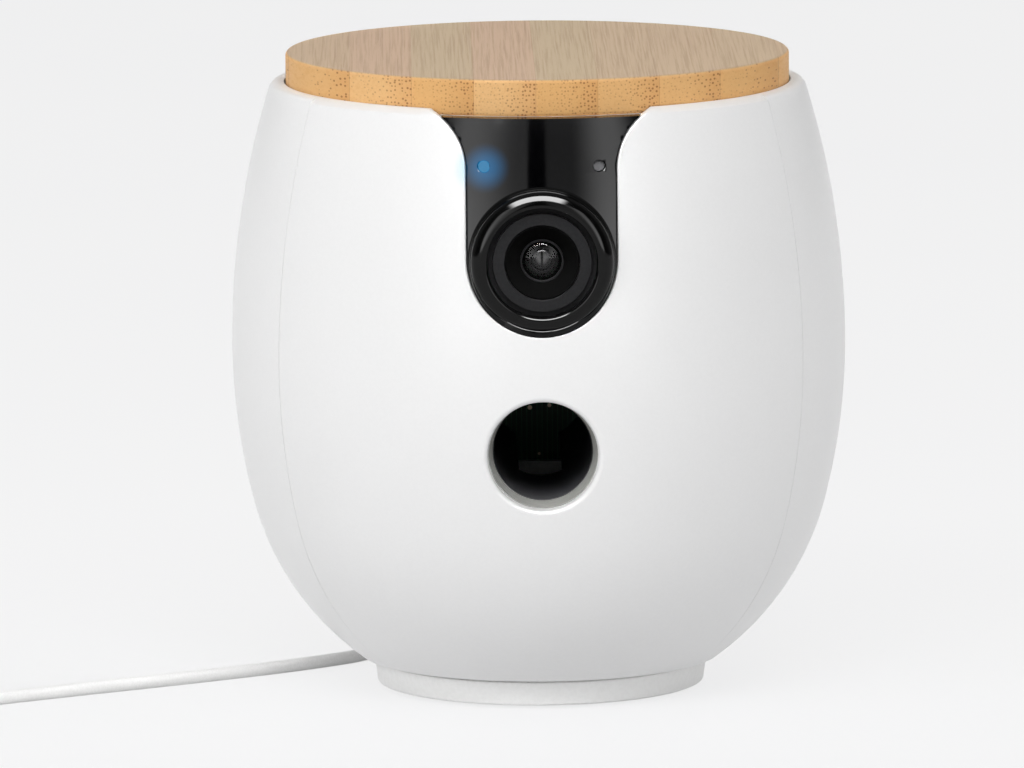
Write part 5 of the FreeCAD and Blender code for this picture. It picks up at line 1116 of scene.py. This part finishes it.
def light_studio():
    """A plain bright room. Gloss sees two walls, a dark gap between them and a bright panel overhead."""
    world = bpy.data.worlds.new("studio")
    bpy.context.scene.world = world
    world.use_nodes = True
    tree = world.node_tree
    way = parts_of(tree, add(tree, "ShaderNodeTexCoord").outputs["Generated"])
    front = sum_of(tree, "MULTIPLY", way["Y"], -1.0)
    turn = sum_of(tree, "ARCTAN2", way["X"], front)
    turn_size = sum_of(tree, "ABSOLUTE", turn)
    roll = sum_of(tree, "ARCTAN2", way["X"], way["Z"])

    def by_angle(angle, low, high, to_low=0.0, to_high=1.0):
        return fade(tree, angle, math.radians(low), math.radians(high), to_low, to_high)

    def times(*values):
        whole = values[0]
        for value in values[1:]:
            whole = sum_of(tree, "MULTIPLY", whole, value)
        return whole

    left = times(by_angle(turn, -4.5, -5.5), by_angle(turn, -44, -32), by_angle(turn, -8, -30, 1.7, 6.0))
    right = times(by_angle(turn, 1.8, 3.4), by_angle(turn, 44, 32), by_angle(turn, 13, 29, 0.9, 6.0))
    wall_height = times(fade(tree, way["Z"], 0.05, 0.42, 1.15, 0.75), fade(tree, way["Z"], 0.56, 0.49))
    walls = times(sum_of(tree, "ADD", left, right), wall_height)
    overhead = times(
        fade(tree, front, 0.86, 0.81), fade(tree, front, 0.22, 0.32),
        by_angle(roll, -35, -26), by_angle(roll, 28, 19), OVERHEAD_STRENGTH,
    )
    behind = times(by_angle(turn_size, 60, 100), 0.35)
    room = sum_of(tree, "ADD", sum_of(tree, "ADD", walls, overhead), behind)
    paths = add(tree, "ShaderNodeLightPath").outputs
    fill = tree.nodes["Background"]
    low_behind = times(fade(tree, way["Z"], 0.75, 0.3), by_angle(turn_size, 115, 165))
    strength = sum_of(tree, "MULTIPLY_ADD", low_behind, FILL_BEHIND, FILL)
    feed(tree, fill, {"Color": (1, 1, 1, 1), "Strength": strength})
    gloss = add(tree, "ShaderNodeBackground", {"Strength": room})
    backdrop = add(tree, "ShaderNodeBackground", {"Color": tone(242, 242, 242), "Strength": 1.0})
    glossy = paths["Is Glossy Ray"]
    unseen = add(tree, "ShaderNodeMixShader", {0: glossy, 1: fill.outputs[0], 2: gloss.outputs[0]})
    seen = sum_of(tree, "ADD", paths["Is Camera Ray"], paths["Is Transmission Ray"], clamp=True)
    whole = add(tree, "ShaderNodeMixShader", {0: seen, 1: unseen.outputs[0], 2: backdrop.outputs[0]})
    tree.links.new(whole.outputs[0], tree.nodes["World Output"].inputs["Surface"])
    middle = Vector((0, 0, 0.08))
    softbox("overhead_softbox", (-0.06, -1.06, 1.14), middle, 0.95, 0.35, 8.5)
    softbox("left_softbox", (-1.5, -1.1, 0.75), middle, 0.8, 1.0, 10.0)
    softbox("right_softbox", (1.6, -0.9, 0.6), middle, 0.6, 1.0, 3.4)


# ---- the whole scene
bpy.context.scene.view_settings.view_transform = "Standard"
set_camera()
supply_plug, supply_shell, supply_contacts = make_supply_plug()
lead = make_lead()
front_cover = make_front_cover()
back_cover = make_back_cover()
panel = make_camera_panel()
bezel = make_bezel()
lens_ring = make_lens_ring()
front_glass, inner_glass = make_lens_glass()
retaining_rings = make_retaining_rings()
lid = make_lid()
make_floor()
light_studio()

white_shell = shell_finish()
black = plastic("bezel_gloss_black", (6, 6, 6), (9, 9, 9), gloss=0.07, spread=0.03, bump=0.005,
                Specular_IOR_Level=0.2)
for piece in (front_cover, back_cover):
    paint_piece(piece, white_shell)
paint_piece(panel, panel_finish())
paint_piece(bezel, black)
satin_grey = plastic("ring_satin_grey", (26, 26, 27), (21, 21, 22), gloss=0.5, bump=0.06, grain=1500.0,
                     Specular_IOR_Level=0.1)
for piece in (lens_ring, retaining_rings):
    paint_piece(piece, satin_grey)
paint_piece(
    front_glass, glass_finish("front_glass", (0.002, 0.002, 0.002, 1), (0.01, 0.01, 0.012, 1), Alpha=0.25),
)
paint_piece(inner_glass, inner_glass_highlight_finish())
paint_piece(lid, bamboo_finish())
paint_piece(lead, plastic("lead_white", (246, 246, 245), (240, 240, 239), gloss=0.45, bump=0.1, grain=2500.0))

paint(plastic("base_white", (251, 251, 250), (247, 247, 246), gloss=0.4), "base_ring")
paint(plastic("inner_white", (222, 222, 220), (214, 214, 212), gloss=0.4),
      "base_plate", "hopper_bowl", "lid_plug", "launcher_frame", "turntable", "wheel_housing")
paint(plastic("spout_grey", (158, 158, 154), (150, 150, 146), gloss=0.5), "treat_spout")
paint(plastic("lens_barrel_black", (2, 2, 2), (4, 4, 4), gloss=0.85, Specular_IOR_Level=0.03),
      "lens_barrel", "camera_housing")
paint(plastic("barrel_grey", (38, 38, 40), (30, 30, 32), gloss=0.5), "launch_barrel", "drop_chute")
paint(plastic("gear_cream", (226, 222, 208), (216, 212, 198), gloss=0.42),
      "sun_gear", "swivel_pinion", "launch_gear", "launch_pinion", "treat_wheel", "wheel_pinion",
      "launch_finger")
paint(plastic("foot_rubber", (48, 48, 50), (40, 40, 42), gloss=0.75, spread=0.1, bump=0.3, grain=1800.0),
      "foot_ring", "finger_pad", "lid_seal")
paint(metal("screw_steel", (176, 177, 180), (150, 151, 154)),
      "base_screws", "body_screws", "lid_screws", "bearing_balls", "upper_race", "lower_race", "pivot_clip",
      "launch_shaft", "motor_bracket")
socket_steel = metal("socket_steel", (160, 160, 162), (136, 136, 138))
paint(socket_steel, "usb_socket")
paint_piece(supply_shell, socket_steel)
paint_piece(supply_contacts, metal("contact_gold", (222, 178, 96), (206, 160, 80)))
paint(metal("bush_bronze", (186, 142, 84), (166, 122, 70)), "launch_bushes")
paint(metal("motor_tin", (168, 170, 172), (148, 150, 152), gloss=0.34),
      "swivel_motor", "launch_motor", "wheel_motor")
paint(plastic("cage_nylon", (210, 206, 192), (200, 196, 182), gloss=0.5), "bearing_cage")
paint(board_finish(), "base_board", "camera_board", "infrared_board", "sensor_board", "main_board")
paint(glass_finish("lamp_clear", (0.5, 0.5, 0.55, 1), (0.6, 0.6, 0.6, 1), Transmission_Weight=0.6),
      "infrared_leds")
paint(light_finish(), "status_light")
paint(mesh_finish(), "microphone_mesh")
paint(plastic("speaker_black", (24, 24, 25), (16, 16, 17), gloss=0.7, bump=0.4, grain=2600.0),
      "speaker", "button_switch")
paint(plastic("button_grey", (196, 197, 199), (188, 189, 191), gloss=0.4), "pairing_button")
plug_white = plastic("plug_white", (236, 236, 235), (230, 230, 229), gloss=0.4)
paint(plug_white, "cable_plug")
paint_piece(supply_plug, plug_white)
